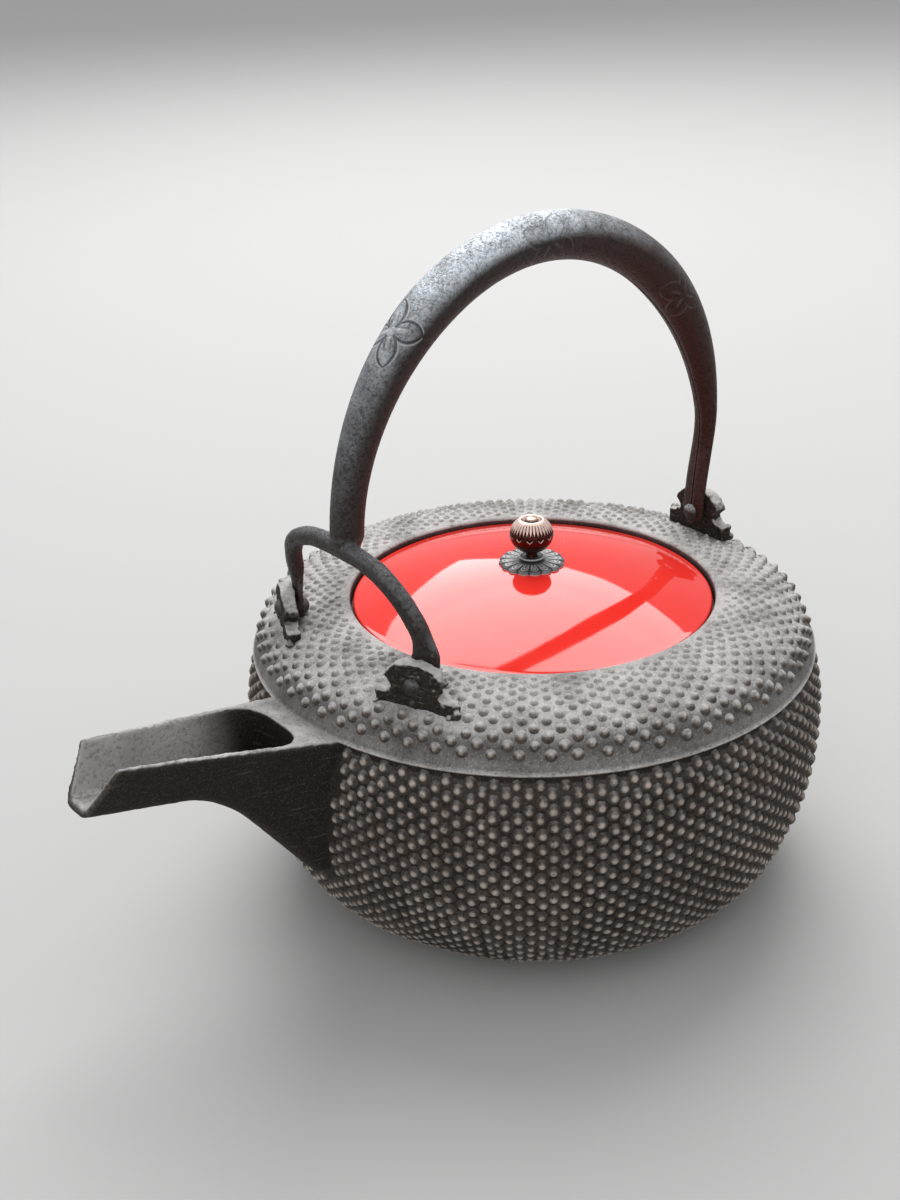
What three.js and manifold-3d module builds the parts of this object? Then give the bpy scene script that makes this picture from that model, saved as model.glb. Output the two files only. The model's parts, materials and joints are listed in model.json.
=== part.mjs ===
// Cast iron sake kettle: open trough spout, lacquered lid, three-legged bail handle.
// Millimetres, +Z up. The origin is the centre of the flat base, and the spout points along -X.

import * as THREE from 'three';
import { mergeVertices } from 'three/addons/utils/BufferGeometryUtils.js';
import Module from 'manifold-3d';

const wasm = await Module();
wasm.setup();

// Fits
const seatGap = 0.3;
const lidSlack = 0.7;

// Cast body
const baseRadius = 54.5;
const baseEdgeRadius = 1.5;
const bellyRadius = 81.9;
const bellyHeight = 52.2;
const ridgeSetback = 1.5;
const ridgeHeight = 71.1;
const ridgeStep = 1.3;
const shoulderRise = 14;
const mouthRadius = 52;
const rimWidth = 4;
const seatDepth = 5.1;
const seatWidth = 5.5;
const bodyWall = 3;
const lowerRoundness = 2.2;
const shoulderRoundness = 2.3;

// Spout
const spoutLength = 59.5;
const spoutRise = 11.6;
const spoutTipHalfWidth = 10.3;
const spoutRootHalfWidth = 16.5;
const spoutTipDepth = 13.6;
const spoutLipReach = 8.5;
const spoutLipHalfWidth = 5.6;
const spoutRootSink = 2.1;
const spoutHeelSetout = 3.5;
const spoutHeelDepth = 44.8;
const spoutHeelHalfWidth = 7.5;
const spoutElbowReach = 30.3;
const spoutElbowDepth = 9.7;
const spoutBottomRadius = 3;
const spoutWall = 2.3;
const bridgeThickness = 2.6;
const bridgeLength = 8.7;
const slotCornerLength = 9;

// Lug plates and rivets
const lugThickness = 3;
const lugCapHalfWidth = 8.8;
const lugNeckHalfWidth = 6.8;
const lugFootHalfWidth = 11.3;
const lugCapRise = 6;
const lugHornRise = 1.4;
const lugNeckDrop = 1;
const lugFootDrop = 2.6;
const lugFootSink = 12;
const frontLugInset = 7.6;
const frontLugBearing = THREE.MathUtils.degToRad(153.7);
const frontLugFacing = THREE.MathUtils.degToRad(165);
const frontPivotRise = 7.2;
const rearLugInset = 10.2;
const rearPivotRise = 7.1;
const earThickness = 2.4;
const earRadius = 4.1;
const rivetDiameter = 3;
const rivetHeadDiameter = 5;
const rivetHeadHeight = 1.3;

// Handle bow
const bowSpringRise = 32.1;
const bowRise = 68.3;
const bowFrontSetout = 1.3;
const bowRearSetout = 2.8;
const bowFrontDiameter = 9;
const bowGripDiameter = 13.2;
const bowRearDiameter = 6.4;
const bowGripFrom = 0.3;
const bowGripTo = 0.66;
const bowTaperTo = 0.94;
const bowSqueezeFrom = 0.9;
const bowSqueezeTo = 0.97;
const bowSheet = 1.6;
const bowSeam = 0.8;

// Front fork
const forkLegDiameter = 5;
const forkCrossing = 6;
const forkNeck = 0.5;
const forkArchRise = 15.2;
const forkTenonLength = 9;
const forkFlareFrom = 0.7;
const forkFlareTo = 0.9;

// Lid
const lidEdge = 3.4;
const lidRise = 9.6;
const lidThickness = 3.4;
const lidCollarWall = 2.4;
const lidCollarDepth = 4;
const lidEdgeRound = 0.9;

// Knob
const knobDiameter = 12.3;
const knobHeight = 10.6;
const knobLift = 1.2;
const knobNeckAngle = THREE.MathUtils.degToRad(-66);
const knobPetals = 20;
const knobFlute = 0.035;
const knobButtonDiameter = 4.2;
const knobButtonRise = 0.6;
const stemDiameter = 4.4;
const shankDiameter = 2.6;
const washerDiameter = 18.2;
const washerThickness = 0.9;
const washerPetals = 16;
const petalDepth = 0.9;
const collarDiameter = 7.4;
const collarHeight = 1.5;
const backWasherDiameter = 12;
const backWasherThickness = 0.8;
const legLength = 9;
const legThickness = 1.2;
const legWidth = 3.2;

// Facets
const bodySegments = 56;
const lidSegments = 48;
const smallSegments = 16;

const finishes = {
  iron: { color: 0x4b4641, roughness: 0.78, metalness: 0.55 },
  handleIron: { color: 0x35302d, roughness: 0.6, metalness: 0.6 },
  lacquer: { color: 0xc8200f, roughness: 0.16, metalness: 0 },
  bronze: { color: 0x6b4f3c, roughness: 0.38, metalness: 0.9 },
  greyMetal: { color: 0x6d6a66, roughness: 0.5, metalness: 0.8 },
};

// A closed skin: shared corners merged, slivers dropped, faces turned outwards.
function closedSkin(geometry) {
  const bare = geometry.index ? geometry.toNonIndexed() : geometry.clone();
  bare.deleteAttribute('normal');
  bare.deleteAttribute('uv');
  const merged = mergeVertices(bare, 1e-4);
  const index = merged.index.array;
  const kept = [];
  for (let i = 0; i < index.length; i += 3) {
    const [a, b, c] = [index[i], index[i + 1], index[i + 2]];
    if (a !== b && b !== c && c !== a) kept.push(a, b, c);
  }
  if (signedVolume(merged.attributes.position, kept) < 0) kept.reverse();
  merged.setIndex(kept);
  return merged;
}

function signedVolume(position, index) {
  const [a, b, c] = [new THREE.Vector3(), new THREE.Vector3(), new THREE.Vector3()];
  let six = 0;
  for (let i = 0; i < index.length; i += 3) {
    a.fromBufferAttribute(position, index[i]);
    b.fromBufferAttribute(position, index[i + 1]);
    c.fromBufferAttribute(position, index[i + 2]);
    six += a.dot(b.cross(c));
  }
  return six / 6;
}

function toSolid(geometry) {
  const skin = closedSkin(geometry);
  return new wasm.Manifold(new wasm.Mesh({
    numProp: 3,
    vertProperties: new Float32Array(skin.attributes.position.array),
    triVerts: new Uint32Array(skin.index.array),
  }));
}

function toGeometry(solid) {
  const mesh = solid.getMesh();
  const geometry = new THREE.BufferGeometry();
  geometry.setAttribute('position', new THREE.BufferAttribute(mesh.vertProperties, 3));
  geometry.setIndex(Array.from(mesh.triVerts));
  return geometry;
}

// A section carried along a list of frames. Each frame holds its origin and the two section axes.
function sweep(frames, sectionAt) {
  const sections = frames.map((frame, i) => sectionAt(i / (frames.length - 1), frame));
  if (THREE.ShapeUtils.isClockWise(sections[0])) sections.forEach((section) => section.reverse());
  const count = sections[0].length;
  const corners = [];
  frames.forEach(({ origin, across, up }, i) => {
    for (const point of sections[i]) {
      const corner = origin.clone().addScaledVector(across, point.x).addScaledVector(up, point.y);
      corners.push(corner.x, corner.y, corner.z);
    }
  });
  const faces = [];
  for (let i = 0; i + 1 < frames.length; i += 1) {
    for (let k = 0; k < count; k += 1) {
      const [a, b] = [i * count + k, i * count + (k + 1) % count];
      faces.push(a, b, b + count, a, b + count, a + count);
    }
  }
  const last = (frames.length - 1) * count;
  for (const [a, b, c] of THREE.ShapeUtils.triangulateShape(sections[0], [])) faces.push(c, b, a);
  for (const [a, b, c] of THREE.ShapeUtils.triangulateShape(sections.at(-1), [])) {
    faces.push(last + a, last + b, last + c);
  }
  const geometry = new THREE.BufferGeometry();
  geometry.setAttribute('position', new THREE.Float32BufferAttribute(corners, 3));
  geometry.setIndex(faces);
  return closedSkin(geometry);
}

// A profile of [radius, height] pairs turned about Z.
function turned(profile, segments) {
  const points = profile.map(([radius, height]) => new THREE.Vector2(radius, height));
  return closedSkin(new THREE.LatheGeometry(points, segments).rotateX(Math.PI / 2));
}

// A turned ring closes on itself.
function turnedRing(profile, segments) {
  return turned([...profile, profile[0]], segments);
}

function rod(radius, from, to, segments = smallSegments) {
  const height = to - from;
  const geometry = new THREE.CylinderGeometry(radius, radius, height, segments);
  return geometry.rotateX(Math.PI / 2).translate(0, 0, from + height / 2);
}

function steps(from, to, count) {
  return Array.from({ length: count + 1 }, (_, i) => from + (to - from) * i / count);
}

// Body of revolution: outer skin, and the hollow inside it
const ridgeRadius = bellyRadius - ridgeSetback;
const rimRadius = mouthRadius + rimWidth;
const rimHeight = ridgeHeight + shoulderRise;
const seatHeight = rimHeight - seatDepth;
const seatInnerRadius = mouthRadius - seatWidth;
const underRidge = ridgeRadius - ridgeStep;

function lowerCurve(bottom, foot, belly, count) {
  return steps(0, Math.PI / 2, count).map((t) => [
    foot + (belly - foot) * Math.sin(t) ** (2 / lowerRoundness),
    bottom + (bellyHeight - bottom) * (1 - Math.cos(t) ** (2 / lowerRoundness)),
  ]);
}

function upperWall(belly, top, height, count) {
  return steps(0, 1, count).slice(1).map((t) => [
    belly + (top - belly) * t * t,
    bellyHeight + (height - bellyHeight) * t,
  ]);
}

function shoulderCurve(inset, count) {
  return steps(0, Math.PI / 2, count).map((t) => [
    rimRadius + (ridgeRadius - inset - rimRadius) * Math.cos(t) ** (2 / shoulderRoundness),
    ridgeHeight + (rimHeight - inset - ridgeHeight) * Math.sin(t) ** (2 / shoulderRoundness),
  ]);
}

// Height of the shoulder's skin at a radius.
function shoulderHeight(radius) {
  const cosine = ((radius - rimRadius) / (ridgeRadius - rimRadius)) ** (shoulderRoundness / 2);
  return ridgeHeight + shoulderRise * (1 - cosine ** 2) ** (1 / shoulderRoundness);
}

function outerProfile() {
  return [
    [baseRadius - baseEdgeRadius, 0],
    ...lowerCurve(baseEdgeRadius, baseRadius, bellyRadius, 11),
    ...upperWall(bellyRadius, underRidge, ridgeHeight - ridgeStep, 4),
    ...shoulderCurve(0, 9),
  ];
}

function hollowProfile() {
  return [
    [0, bodyWall],
    ...lowerCurve(bodyWall, baseRadius - bodyWall / 2, bellyRadius - bodyWall, 8),
    ...upperWall(bellyRadius - bodyWall, underRidge - bodyWall, ridgeHeight - ridgeStep, 2),
    ...shoulderCurve(bodyWall, 6).slice(1, -1),
    [mouthRadius, seatHeight - bodyWall],
    [seatInnerRadius, seatHeight - bodyWall],
  ];
}

// Spout, set out from where its rim meets the ridge
const spoutRootX = spoutRootSink - ridgeRadius;
const spoutTipX = spoutRootX - spoutLength;
const spoutLipX = spoutTipX - spoutLipReach;
const spoutTipHeight = ridgeHeight + spoutRise;
const spoutLipHeight = spoutTipHeight - spoutTipDepth;
const slotEndX = spoutRootX - bridgeLength;

// Its stations follow the underside: a straight nose, a bent elbow and a steep heel.
function undersideStations() {
  const nose = new THREE.Vector2(spoutLipX, spoutLipHeight);
  const elbow = new THREE.Vector2(spoutRootX - spoutElbowReach, ridgeHeight - spoutElbowDepth);
  const heel = new THREE.Vector2(spoutRootX - spoutHeelSetout, ridgeHeight - spoutHeelDepth);
  const bendStart = elbow.clone().lerp(nose, 0.3);
  const bendEnd = elbow.clone().lerp(heel, 0.38);
  const bend = new THREE.QuadraticBezierCurve(bendStart, elbow, bendEnd);
  const overrun = nose.clone().lerp(elbow, -0.2);
  return [overrun, ...bend.getPoints(7), heel];
}

function spoutTopHeight(x) {
  const share = (x - spoutRootX) / (spoutTipX - spoutRootX);
  return THREE.MathUtils.lerp(ridgeHeight, spoutTipHeight, share);
}

function spoutTopHalfWidth(x) {
  const share = (x - spoutRootX) / (spoutTipX - spoutRootX);
  return THREE.MathUtils.lerp(spoutRootHalfWidth, spoutTipHalfWidth, share);
}

function spoutBottomHalfWidth(x) {
  const share = (x - spoutRootX) / (spoutLipX - spoutRootX);
  return THREE.MathUtils.lerp(spoutHeelHalfWidth, spoutLipHalfWidth, share);
}

// One cross-section: leaning sides and a bottom with rounded corners. topTo may stand above the
// rim, and then the sides lean on in the same line.
function troughSection(x, bottom, inset, topTo) {
  const rim = spoutTopHeight(x);
  const skinBottom = bottom - inset;
  const low = spoutBottomHalfWidth(x) - inset;
  const high = spoutTopHalfWidth(x) - inset;
  const lean = (high - low) / (rim - skinBottom);
  const halfWidthAt = (height) => low + lean * (height - skinBottom);
  const corner = Math.min(spoutBottomRadius, low, (topTo - bottom) / 2) - inset / 2;
  const right = [new THREE.Vector2(halfWidthAt(topTo), topTo)];
  for (const angle of steps(0, Math.PI / 2, 3)) {
    const height = bottom + corner * (1 - Math.sin(angle));
    right.push(new THREE.Vector2(halfWidthAt(height) - corner * (1 - Math.cos(angle)), height));
  }
  const left = right.map((point) => new THREE.Vector2(-point.x, point.y)).reverse();
  return [...right, ...left];
}

function troughLoft(stations, inset, topAt) {
  const frames = stations.map(({ x }) => ({
    origin: new THREE.Vector3(x, 0, 0),
    across: new THREE.Vector3(0, 1, 0),
    up: new THREE.Vector3(0, 0, 1),
  }));
  const bottoms = new Map(stations.map(({ x, y }) => [x, y]));
  return sweep(frames, (_, { origin }) => (
    troughSection(origin.x, bottoms.get(origin.x), inset, topAt(origin.x))
  ));
}

// The underside moved inwards by the spout's wall, along its own normal.
function channelStations(outside) {
  return outside.map((station, i) => {
    const before = outside[Math.max(i - 1, 0)];
    const after = outside[Math.min(i + 1, outside.length - 1)];
    const run = after.clone().sub(before).normalize();
    return new THREE.Vector2(station.x - run.y * spoutWall, station.y + run.x * spoutWall);
  });
}

// The slot in the bridge, seen from above: open towards the tip, arched at its inner end.
function slotCutter() {
  const far = spoutLipX - spoutLipReach;
  const cornerX = slotEndX - slotCornerLength;
  const wide = spoutTopHalfWidth(cornerX) - spoutWall;
  const end = spoutTopHalfWidth(slotEndX) - spoutWall;
  const outline = new THREE.Shape();
  outline.moveTo(far, -wide);
  outline.lineTo(cornerX, -wide);
  outline.quadraticCurveTo(slotEndX, -end, slotEndX, -end / 4);
  outline.lineTo(slotEndX, end / 4);
  outline.quadraticCurveTo(slotEndX, end, cornerX, wide);
  outline.lineTo(far, wide);
  outline.closePath();
  const depth = spoutHeelDepth + 2 * Math.abs(spoutRise) + spoutTipDepth;
  return new THREE.ExtrudeGeometry(outline, { depth, bevelEnabled: false, curveSegments: 6 })
    .translate(0, 0, ridgeHeight - spoutHeelDepth);
}

// Half-space beyond the slanted end face of the spout.
function tipCutter() {
  const size = 3 * (spoutTipHeight - spoutLipHeight);
  const slant = Math.atan2(spoutTipX - spoutLipX, spoutTipHeight - spoutLipHeight);
  return new THREE.BoxGeometry(size, size, 2 * size)
    .translate(-size / 2, 0, 0)
    .rotateY(slant)
    .translate(spoutLipX, 0, spoutLipHeight);
}

function kettleBody() {
  const throughWall = Math.sqrt(underRidge ** 2 - spoutRootHalfWidth ** 2) - 2 * bodyWall;
  const outside = undersideStations();
  const channel = channelStations(outside);
  outside.push(new THREE.Vector2(-throughWall, outside.at(-1).y));
  channel.push(new THREE.Vector2(-throughWall, channel.at(-1).y));

  const skin = toSolid(turned([[0, 0], ...outerProfile(), [mouthRadius, rimHeight],
    [mouthRadius, seatHeight], [seatInnerRadius, seatHeight], [0, seatHeight]], bodySegments));
  const mouth = toSolid(rod(seatInnerRadius, seatHeight - 2 * bodyWall, rimHeight, bodySegments));
  const hollow = toSolid(turned([...hollowProfile(), [0, seatHeight - bodyWall]], bodySegments));
  const spout = toSolid(troughLoft(outside, 0, spoutTopHeight));
  const underBridge = toSolid(troughLoft(channel, spoutWall, (x) => spoutTopHeight(x) - bridgeThickness));
  const fullDepth = toSolid(troughLoft(channel, spoutWall, (x) => spoutTopHeight(x) + spoutTipDepth));
  const slot = fullDepth.intersect(toSolid(slotCutter()));

  const cast = skin.add(spout).subtract(hollow).subtract(mouth);
  return toGeometry(cast.subtract(underBridge).subtract(slot).subtract(toSolid(tipCutter())));
}

// Space a lug plate has to keep clear of: the body's outside grown by the seat gap.
function bodyEnvelope() {
  const grown = outerProfile().map(([radius, height]) => [radius + seatGap, height + seatGap]);
  return toSolid(turned([[0, seatGap], ...grown, [0, rimHeight + seatGap]], bodySegments));
}

// Lug plate. Its outline lies in the plane of the plate, with the rivet hole at its origin.
function lugOutline() {
  const outline = new THREE.Shape();
  outline.moveTo(-lugFootHalfWidth, -lugFootSink);
  outline.lineTo(lugFootHalfWidth, -lugFootSink);
  outline.lineTo(lugFootHalfWidth, -lugFootDrop);
  outline.quadraticCurveTo(lugNeckHalfWidth, -lugFootDrop, lugNeckHalfWidth, -lugNeckDrop);
  outline.quadraticCurveTo(lugNeckHalfWidth, 0, lugCapHalfWidth, lugHornRise);
  outline.bezierCurveTo(lugCapHalfWidth / 2, lugCapRise, lugCapHalfWidth / 3, lugCapRise, 0, lugCapRise);
  outline.bezierCurveTo(-lugCapHalfWidth / 3, lugCapRise, -lugCapHalfWidth / 2, lugCapRise,
    -lugCapHalfWidth, lugHornRise);
  outline.quadraticCurveTo(-lugNeckHalfWidth, 0, -lugNeckHalfWidth, -lugNeckDrop);
  outline.quadraticCurveTo(-lugNeckHalfWidth, -lugFootDrop, -lugFootHalfWidth, -lugFootDrop);
  outline.closePath();
  outline.holes.push(new THREE.Path().absarc(0, 0, rivetDiameter / 2 + seatGap, 0, 2 * Math.PI, true));
  return outline;
}

// Where a lug stands: its outer face's rivet centre, and the way that face looks.
function lugStation(inset, bearing, facing, rise) {
  const radius = ridgeRadius - inset;
  return {
    x: radius * Math.cos(bearing),
    y: radius * Math.sin(bearing),
    height: shoulderHeight(radius) + rise,
    facing,
  };
}

const lugStations = {
  front_left: lugStation(frontLugInset, -frontLugBearing, -frontLugFacing, frontPivotRise),
  front_right: lugStation(frontLugInset, frontLugBearing, frontLugFacing, frontPivotRise),
  rear: lugStation(rearLugInset, 0, 0, rearPivotRise),
};

// Local axes at a lug: X runs along the plate, Y up, Z out of its outer face.
function lugFrame({ x, y, height, facing }) {
  const out = new THREE.Vector3(Math.cos(facing), Math.sin(facing), 0);
  const up = new THREE.Vector3(0, 0, 1);
  const along = new THREE.Vector3().crossVectors(up, out);
  return new THREE.Matrix4().makeBasis(along, up, out).setPosition(x, y, height);
}

function lugPlate(station, envelope) {
  const plate = new THREE.ExtrudeGeometry(lugOutline(), {
    depth: lugThickness, bevelEnabled: false, curveSegments: 5,
  });
  plate.translate(0, 0, -lugThickness).applyMatrix4(lugFrame(station));
  return toGeometry(toSolid(plate).subtract(envelope));
}

// Rivet: domed heads on the plate's outer face and on the ear's inner face.
function rivet(station) {
  const outFace = seatGap;
  const inFace = -(lugThickness + earThickness + 2 * seatGap);
  const dome = (t) => [Math.cos(t) * rivetHeadDiameter / 2, Math.sin(t) * rivetHeadHeight];
  const arc = steps(0, Math.PI / 2, 3).map(dome);
  const outer = arc.map(([r, h]) => [r, outFace + h]);
  const inner = arc.map(([r, h]) => [r, inFace - h]).reverse();
  const shank = [[rivetDiameter / 2, inFace], [rivetDiameter / 2, outFace]];
  return turned([...inner, ...shank, ...outer], smallSegments).applyMatrix4(lugFrame(station));
}

function earCentre(station) {
  const depth = lugThickness + seatGap + earThickness / 2;
  return new THREE.Vector3(0, 0, -depth).applyMatrix4(lugFrame(station));
}

// Disc of an ear, and the hole its rivet passes through.
function earDisc(station, radius, thickness) {
  const depth = lugThickness + seatGap + earThickness / 2;
  return toSolid(rod(radius, -thickness / 2, thickness / 2)
    .translate(0, 0, -depth).applyMatrix4(lugFrame(station)));
}

function withEar(solid, station) {
  const hole = earDisc(station, rivetDiameter / 2 + seatGap, 3 * earThickness);
  return solid.add(earDisc(station, earRadius, earThickness)).subtract(hole);
}

// The bow springs from over the front ears and comes down over the rear one.
const bowFrontX = earCentre(lugStations.front_left).x - bowFrontSetout;
const bowRearX = earCentre(lugStations.rear).x + bowRearSetout;
const bowCentreX = (bowFrontX + bowRearX) / 2;
const bowHalfSpan = (bowRearX - bowFrontX) / 2;
const bowSpringHeight = rimHeight + bowSpringRise;

function bowPoint(t) {
  return new THREE.Vector3(bowCentreX - bowHalfSpan * Math.cos(t), 0,
    bowSpringHeight + bowRise * Math.sin(t));
}

// Centre line of the bow: half an ellipse from the fork, then a short drop to the rear ear.
function bowPath() {
  const rearEar = earCentre(lugStations.rear);
  const arc = steps(0, Math.PI, 26).map(bowPoint);
  const end = arc.at(-1);
  const drop = new THREE.QuadraticBezierCurve3(end,
    new THREE.Vector3(rearEar.x, 0, (end.z + rearEar.z) / 2), rearEar);
  return [...arc, ...drop.getPoints(5).slice(1)];
}

function bowFrames(path) {
  const across = new THREE.Vector3(0, 1, 0);
  return path.map((origin, i) => {
    const before = path[Math.max(i - 1, 0)];
    const after = path[Math.min(i + 1, path.length - 1)];
    const run = i === 0 ? new THREE.Vector3(0, 0, 1) : after.clone().sub(before).normalize();
    return { origin, across, up: new THREE.Vector3().crossVectors(across, run) };
  });
}

// Thin at the fork, full in the grip, and drawn out thin again towards the rear ear.
function bowRadius(share) {
  const swell = THREE.MathUtils.smoothstep(share, 0, bowGripFrom);
  const taper = THREE.MathUtils.smoothstep(share, bowGripTo, bowTaperTo);
  const front = THREE.MathUtils.lerp(bowFrontDiameter, bowGripDiameter, swell);
  return THREE.MathUtils.lerp(front, bowRearDiameter, taper) / 2;
}

// Wrapped sheet: a C-shaped section whose seam faces the inside of the bow.
function wrappedSection(radius) {
  const inner = Math.max(radius - bowSheet, bowSheet / 2);
  const outerGap = bowSeam / 2 / radius;
  const innerGap = bowSeam / 2 / inner;
  const seamAngle = Math.PI / 2;
  const at = (r, angle) => new THREE.Vector2(r * Math.cos(angle), r * Math.sin(angle));
  const outside = steps(seamAngle + outerGap, seamAngle + 2 * Math.PI - outerGap, 12)
    .map((angle) => at(radius, angle));
  const inside = steps(seamAngle + 2 * Math.PI - innerGap, seamAngle + innerGap, 8)
    .map((angle) => at(inner, angle));
  return [...outside, ...inside];
}

// The rear end is squeezed flat against its lug.
function bowTube() {
  const frames = bowFrames(bowPath());
  const squeeze = (share) => THREE.MathUtils.smoothstep(share, bowSqueezeFrom, bowSqueezeTo);
  const tube = sweep(frames, (share) => {
    const radius = bowRadius(share);
    const flat = THREE.MathUtils.lerp(1, earThickness / bowRearDiameter, squeeze(share));
    return wrappedSection(radius).map((point) => new THREE.Vector2(point.x, point.y * flat));
  });
  return toGeometry(withEar(toSolid(tube), lugStations.rear));
}

// Fork
const forkTopHeight = bowSpringHeight - forkLegDiameter / 2 - forkNeck;
const forkLegTop = forkTopHeight - forkArchRise;

// A fork leg is round, and flattens into the ear behind its lug plate.
function forkLegSize(share) {
  const flare = THREE.MathUtils.smoothstep(share, forkFlareFrom, forkFlareTo);
  return {
    halfWidth: THREE.MathUtils.lerp(forkLegDiameter / 2, earRadius, flare),
    halfDepth: THREE.MathUtils.lerp(forkLegDiameter / 2, earThickness / 2, flare),
  };
}

// One leg: out from the centre, round a quarter ellipse, down to its ear. Its outer side lies in
// line with the outer face of the ear.
function forkLegFrames(station) {
  const side = Math.sign(station.y);
  const ear = earCentre(station);
  const spread = Math.abs(ear.y) - forkCrossing;
  const bend = steps(0, Math.PI / 2, 8).map((t) => new THREE.Vector3(0,
    forkCrossing + spread * Math.sin(t),
    forkLegTop + (forkTopHeight - forkLegTop) * Math.cos(t)));
  const foot = steps(forkLegTop, ear.z, 3).slice(1).map((z) => new THREE.Vector3(0, Math.abs(ear.y), z));
  const path = [new THREE.Vector3(0, 0, forkTopHeight), ...bend, ...foot];
  for (const point of path) {
    const down = (forkTopHeight - point.z) / (forkTopHeight - ear.z);
    point.x = THREE.MathUtils.lerp(bowFrontX + (forkLegDiameter - earThickness) / 2, ear.x, down);
    point.y *= side;
  }
  return path.map((origin, i) => {
    const before = path[Math.max(i - 1, 0)];
    const after = path[Math.min(i + 1, path.length - 1)];
    const run = after.clone().sub(before).normalize();
    const share = i / (path.length - 1);
    const turn = THREE.MathUtils.lerp(Math.PI, Math.abs(station.facing), share);
    const facing = new THREE.Vector3(Math.cos(turn), side * Math.sin(turn), 0);
    const across = new THREE.Vector3().crossVectors(facing, run).normalize();
    const inset = forkLegSize(share).halfDepth - earThickness / 2;
    return {
      origin: origin.clone().addScaledVector(facing, -inset),
      across,
      up: new THREE.Vector3().crossVectors(run, across),
    };
  });
}

function forkLeg(station) {
  return toSolid(sweep(forkLegFrames(station), (share) => {
    const { halfWidth, halfDepth } = forkLegSize(share);
    return steps(0, 2 * Math.PI, 10).slice(1)
      .map((t) => new THREE.Vector2(halfWidth * Math.cos(t), halfDepth * Math.sin(t)));
  }));
}

// Tenon that fills the bow's open front end, and the shoulder under it.
function forkTenon() {
  const bore = bowRadius(0) - bowSheet - seatGap;
  const reach = Math.asin(forkTenonLength / bowRise);
  const path = steps(0, reach, 3).map(bowPoint);
  const foot = new THREE.Vector3(bowFrontX, 0, forkTopHeight);
  const frames = bowFrames([foot, ...path]);
  return toSolid(sweep(frames, () => steps(0, 2 * Math.PI, 12).slice(1)
    .map((t) => new THREE.Vector2(bore * Math.cos(t), bore * Math.sin(t)))));
}

function forkShoulder() {
  const radius = bowRadius(0) - seatGap;
  const top = bowSpringHeight - seatGap;
  const waist = forkLegDiameter / 2;
  const profile = [[0, forkTopHeight - waist], [waist, forkTopHeight - waist],
    [radius, top - seatGap * 2], [radius, top], [0, top]];
  return toSolid(turned(profile, smallSegments).translate(bowFrontX, 0, 0));
}

function frontFork() {
  const { front_left: left, front_right: right } = lugStations;
  const crown = forkShoulder().add(forkTenon()).add(forkLeg(left)).add(forkLeg(right));
  return toGeometry(withEar(withEar(crown, left), right));
}

// Lid
const lidRadius = mouthRadius - lidSlack;
const lidUnder = seatHeight + seatGap;
const lidShoulder = lidUnder + lidEdge;
const lidCrown = lidShoulder + lidRise;
const shankHole = shankDiameter / 2 + seatGap;

// Height of a shallow dome over a lid of this edge radius.
function domeHeight(radius, edge, foot, rise) {
  const ball = (edge ** 2 + rise ** 2) / (2 * rise);
  return foot + rise - ball + Math.sqrt(ball ** 2 - radius ** 2);
}

function lidDisc() {
  const collarOuter = seatInnerRadius - lidSlack;
  const collarInner = collarOuter - lidCollarWall;
  const flat = lidRadius - lidEdgeRound;
  const outer = steps(shankHole, flat, 7)
    .map((radius) => [radius, domeHeight(radius, flat, lidShoulder, lidRise)]);
  const under = steps(collarInner, shankHole, 4).map((radius) => [
    radius, domeHeight(radius, flat, lidShoulder, lidRise) - lidThickness,
  ]);
  const edge = steps(Math.PI / 2, 0, 3).slice(1).map((t) => [
    flat + lidEdgeRound * Math.cos(t), lidShoulder - lidEdgeRound * (1 - Math.sin(t)),
  ]);
  return turnedRing([...outer, ...edge, [lidRadius, lidUnder], [collarOuter, lidUnder],
    [collarOuter, lidUnder - lidCollarDepth], [collarInner, lidUnder - lidCollarDepth], ...under],
  lidSegments);
}

// Stack under and over the lid's crown
const washerBottom = lidCrown + seatGap;
const collarBottom = washerBottom + washerThickness + seatGap;
const stemBottom = collarBottom + collarHeight + seatGap;
const knobBottom = stemBottom + knobLift;
const backWasherTop = lidCrown - lidThickness - seatGap;
const legTop = backWasherTop - backWasherThickness - seatGap;

function flatRing(outline, holeRadius, thickness) {
  outline.holes.push(new THREE.Path().absarc(0, 0, holeRadius, 0, 2 * Math.PI, true));
  return new THREE.ExtrudeGeometry(outline, {
    depth: thickness, bevelEnabled: false, curveSegments: smallSegments / 2,
  });
}

// Washer with one rounded petal after another round its rim.
function flowerWasher() {
  const points = steps(0, 2 * Math.PI, washerPetals * 5).slice(1).map((angle) => {
    const petal = Math.abs(Math.sin(angle * washerPetals / 2));
    const radius = washerDiameter / 2 - petalDepth * (1 - petal);
    return new THREE.Vector2(radius * Math.cos(angle), radius * Math.sin(angle));
  });
  return flatRing(new THREE.Shape(points), shankHole, washerThickness).translate(0, 0, washerBottom);
}

function knobCollar() {
  const outer = collarDiameter / 2;
  const waist = stemDiameter / 2 + (outer - stemDiameter / 2) / 3;
  return turnedRing([[shankHole, 0], [waist, 0], [waist, collarHeight / 3], [outer, collarHeight * 0.8],
    [outer, collarHeight], [waist, collarHeight], [shankHole, collarHeight * 0.7]], smallSegments)
    .translate(0, 0, collarBottom);
}

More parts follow.
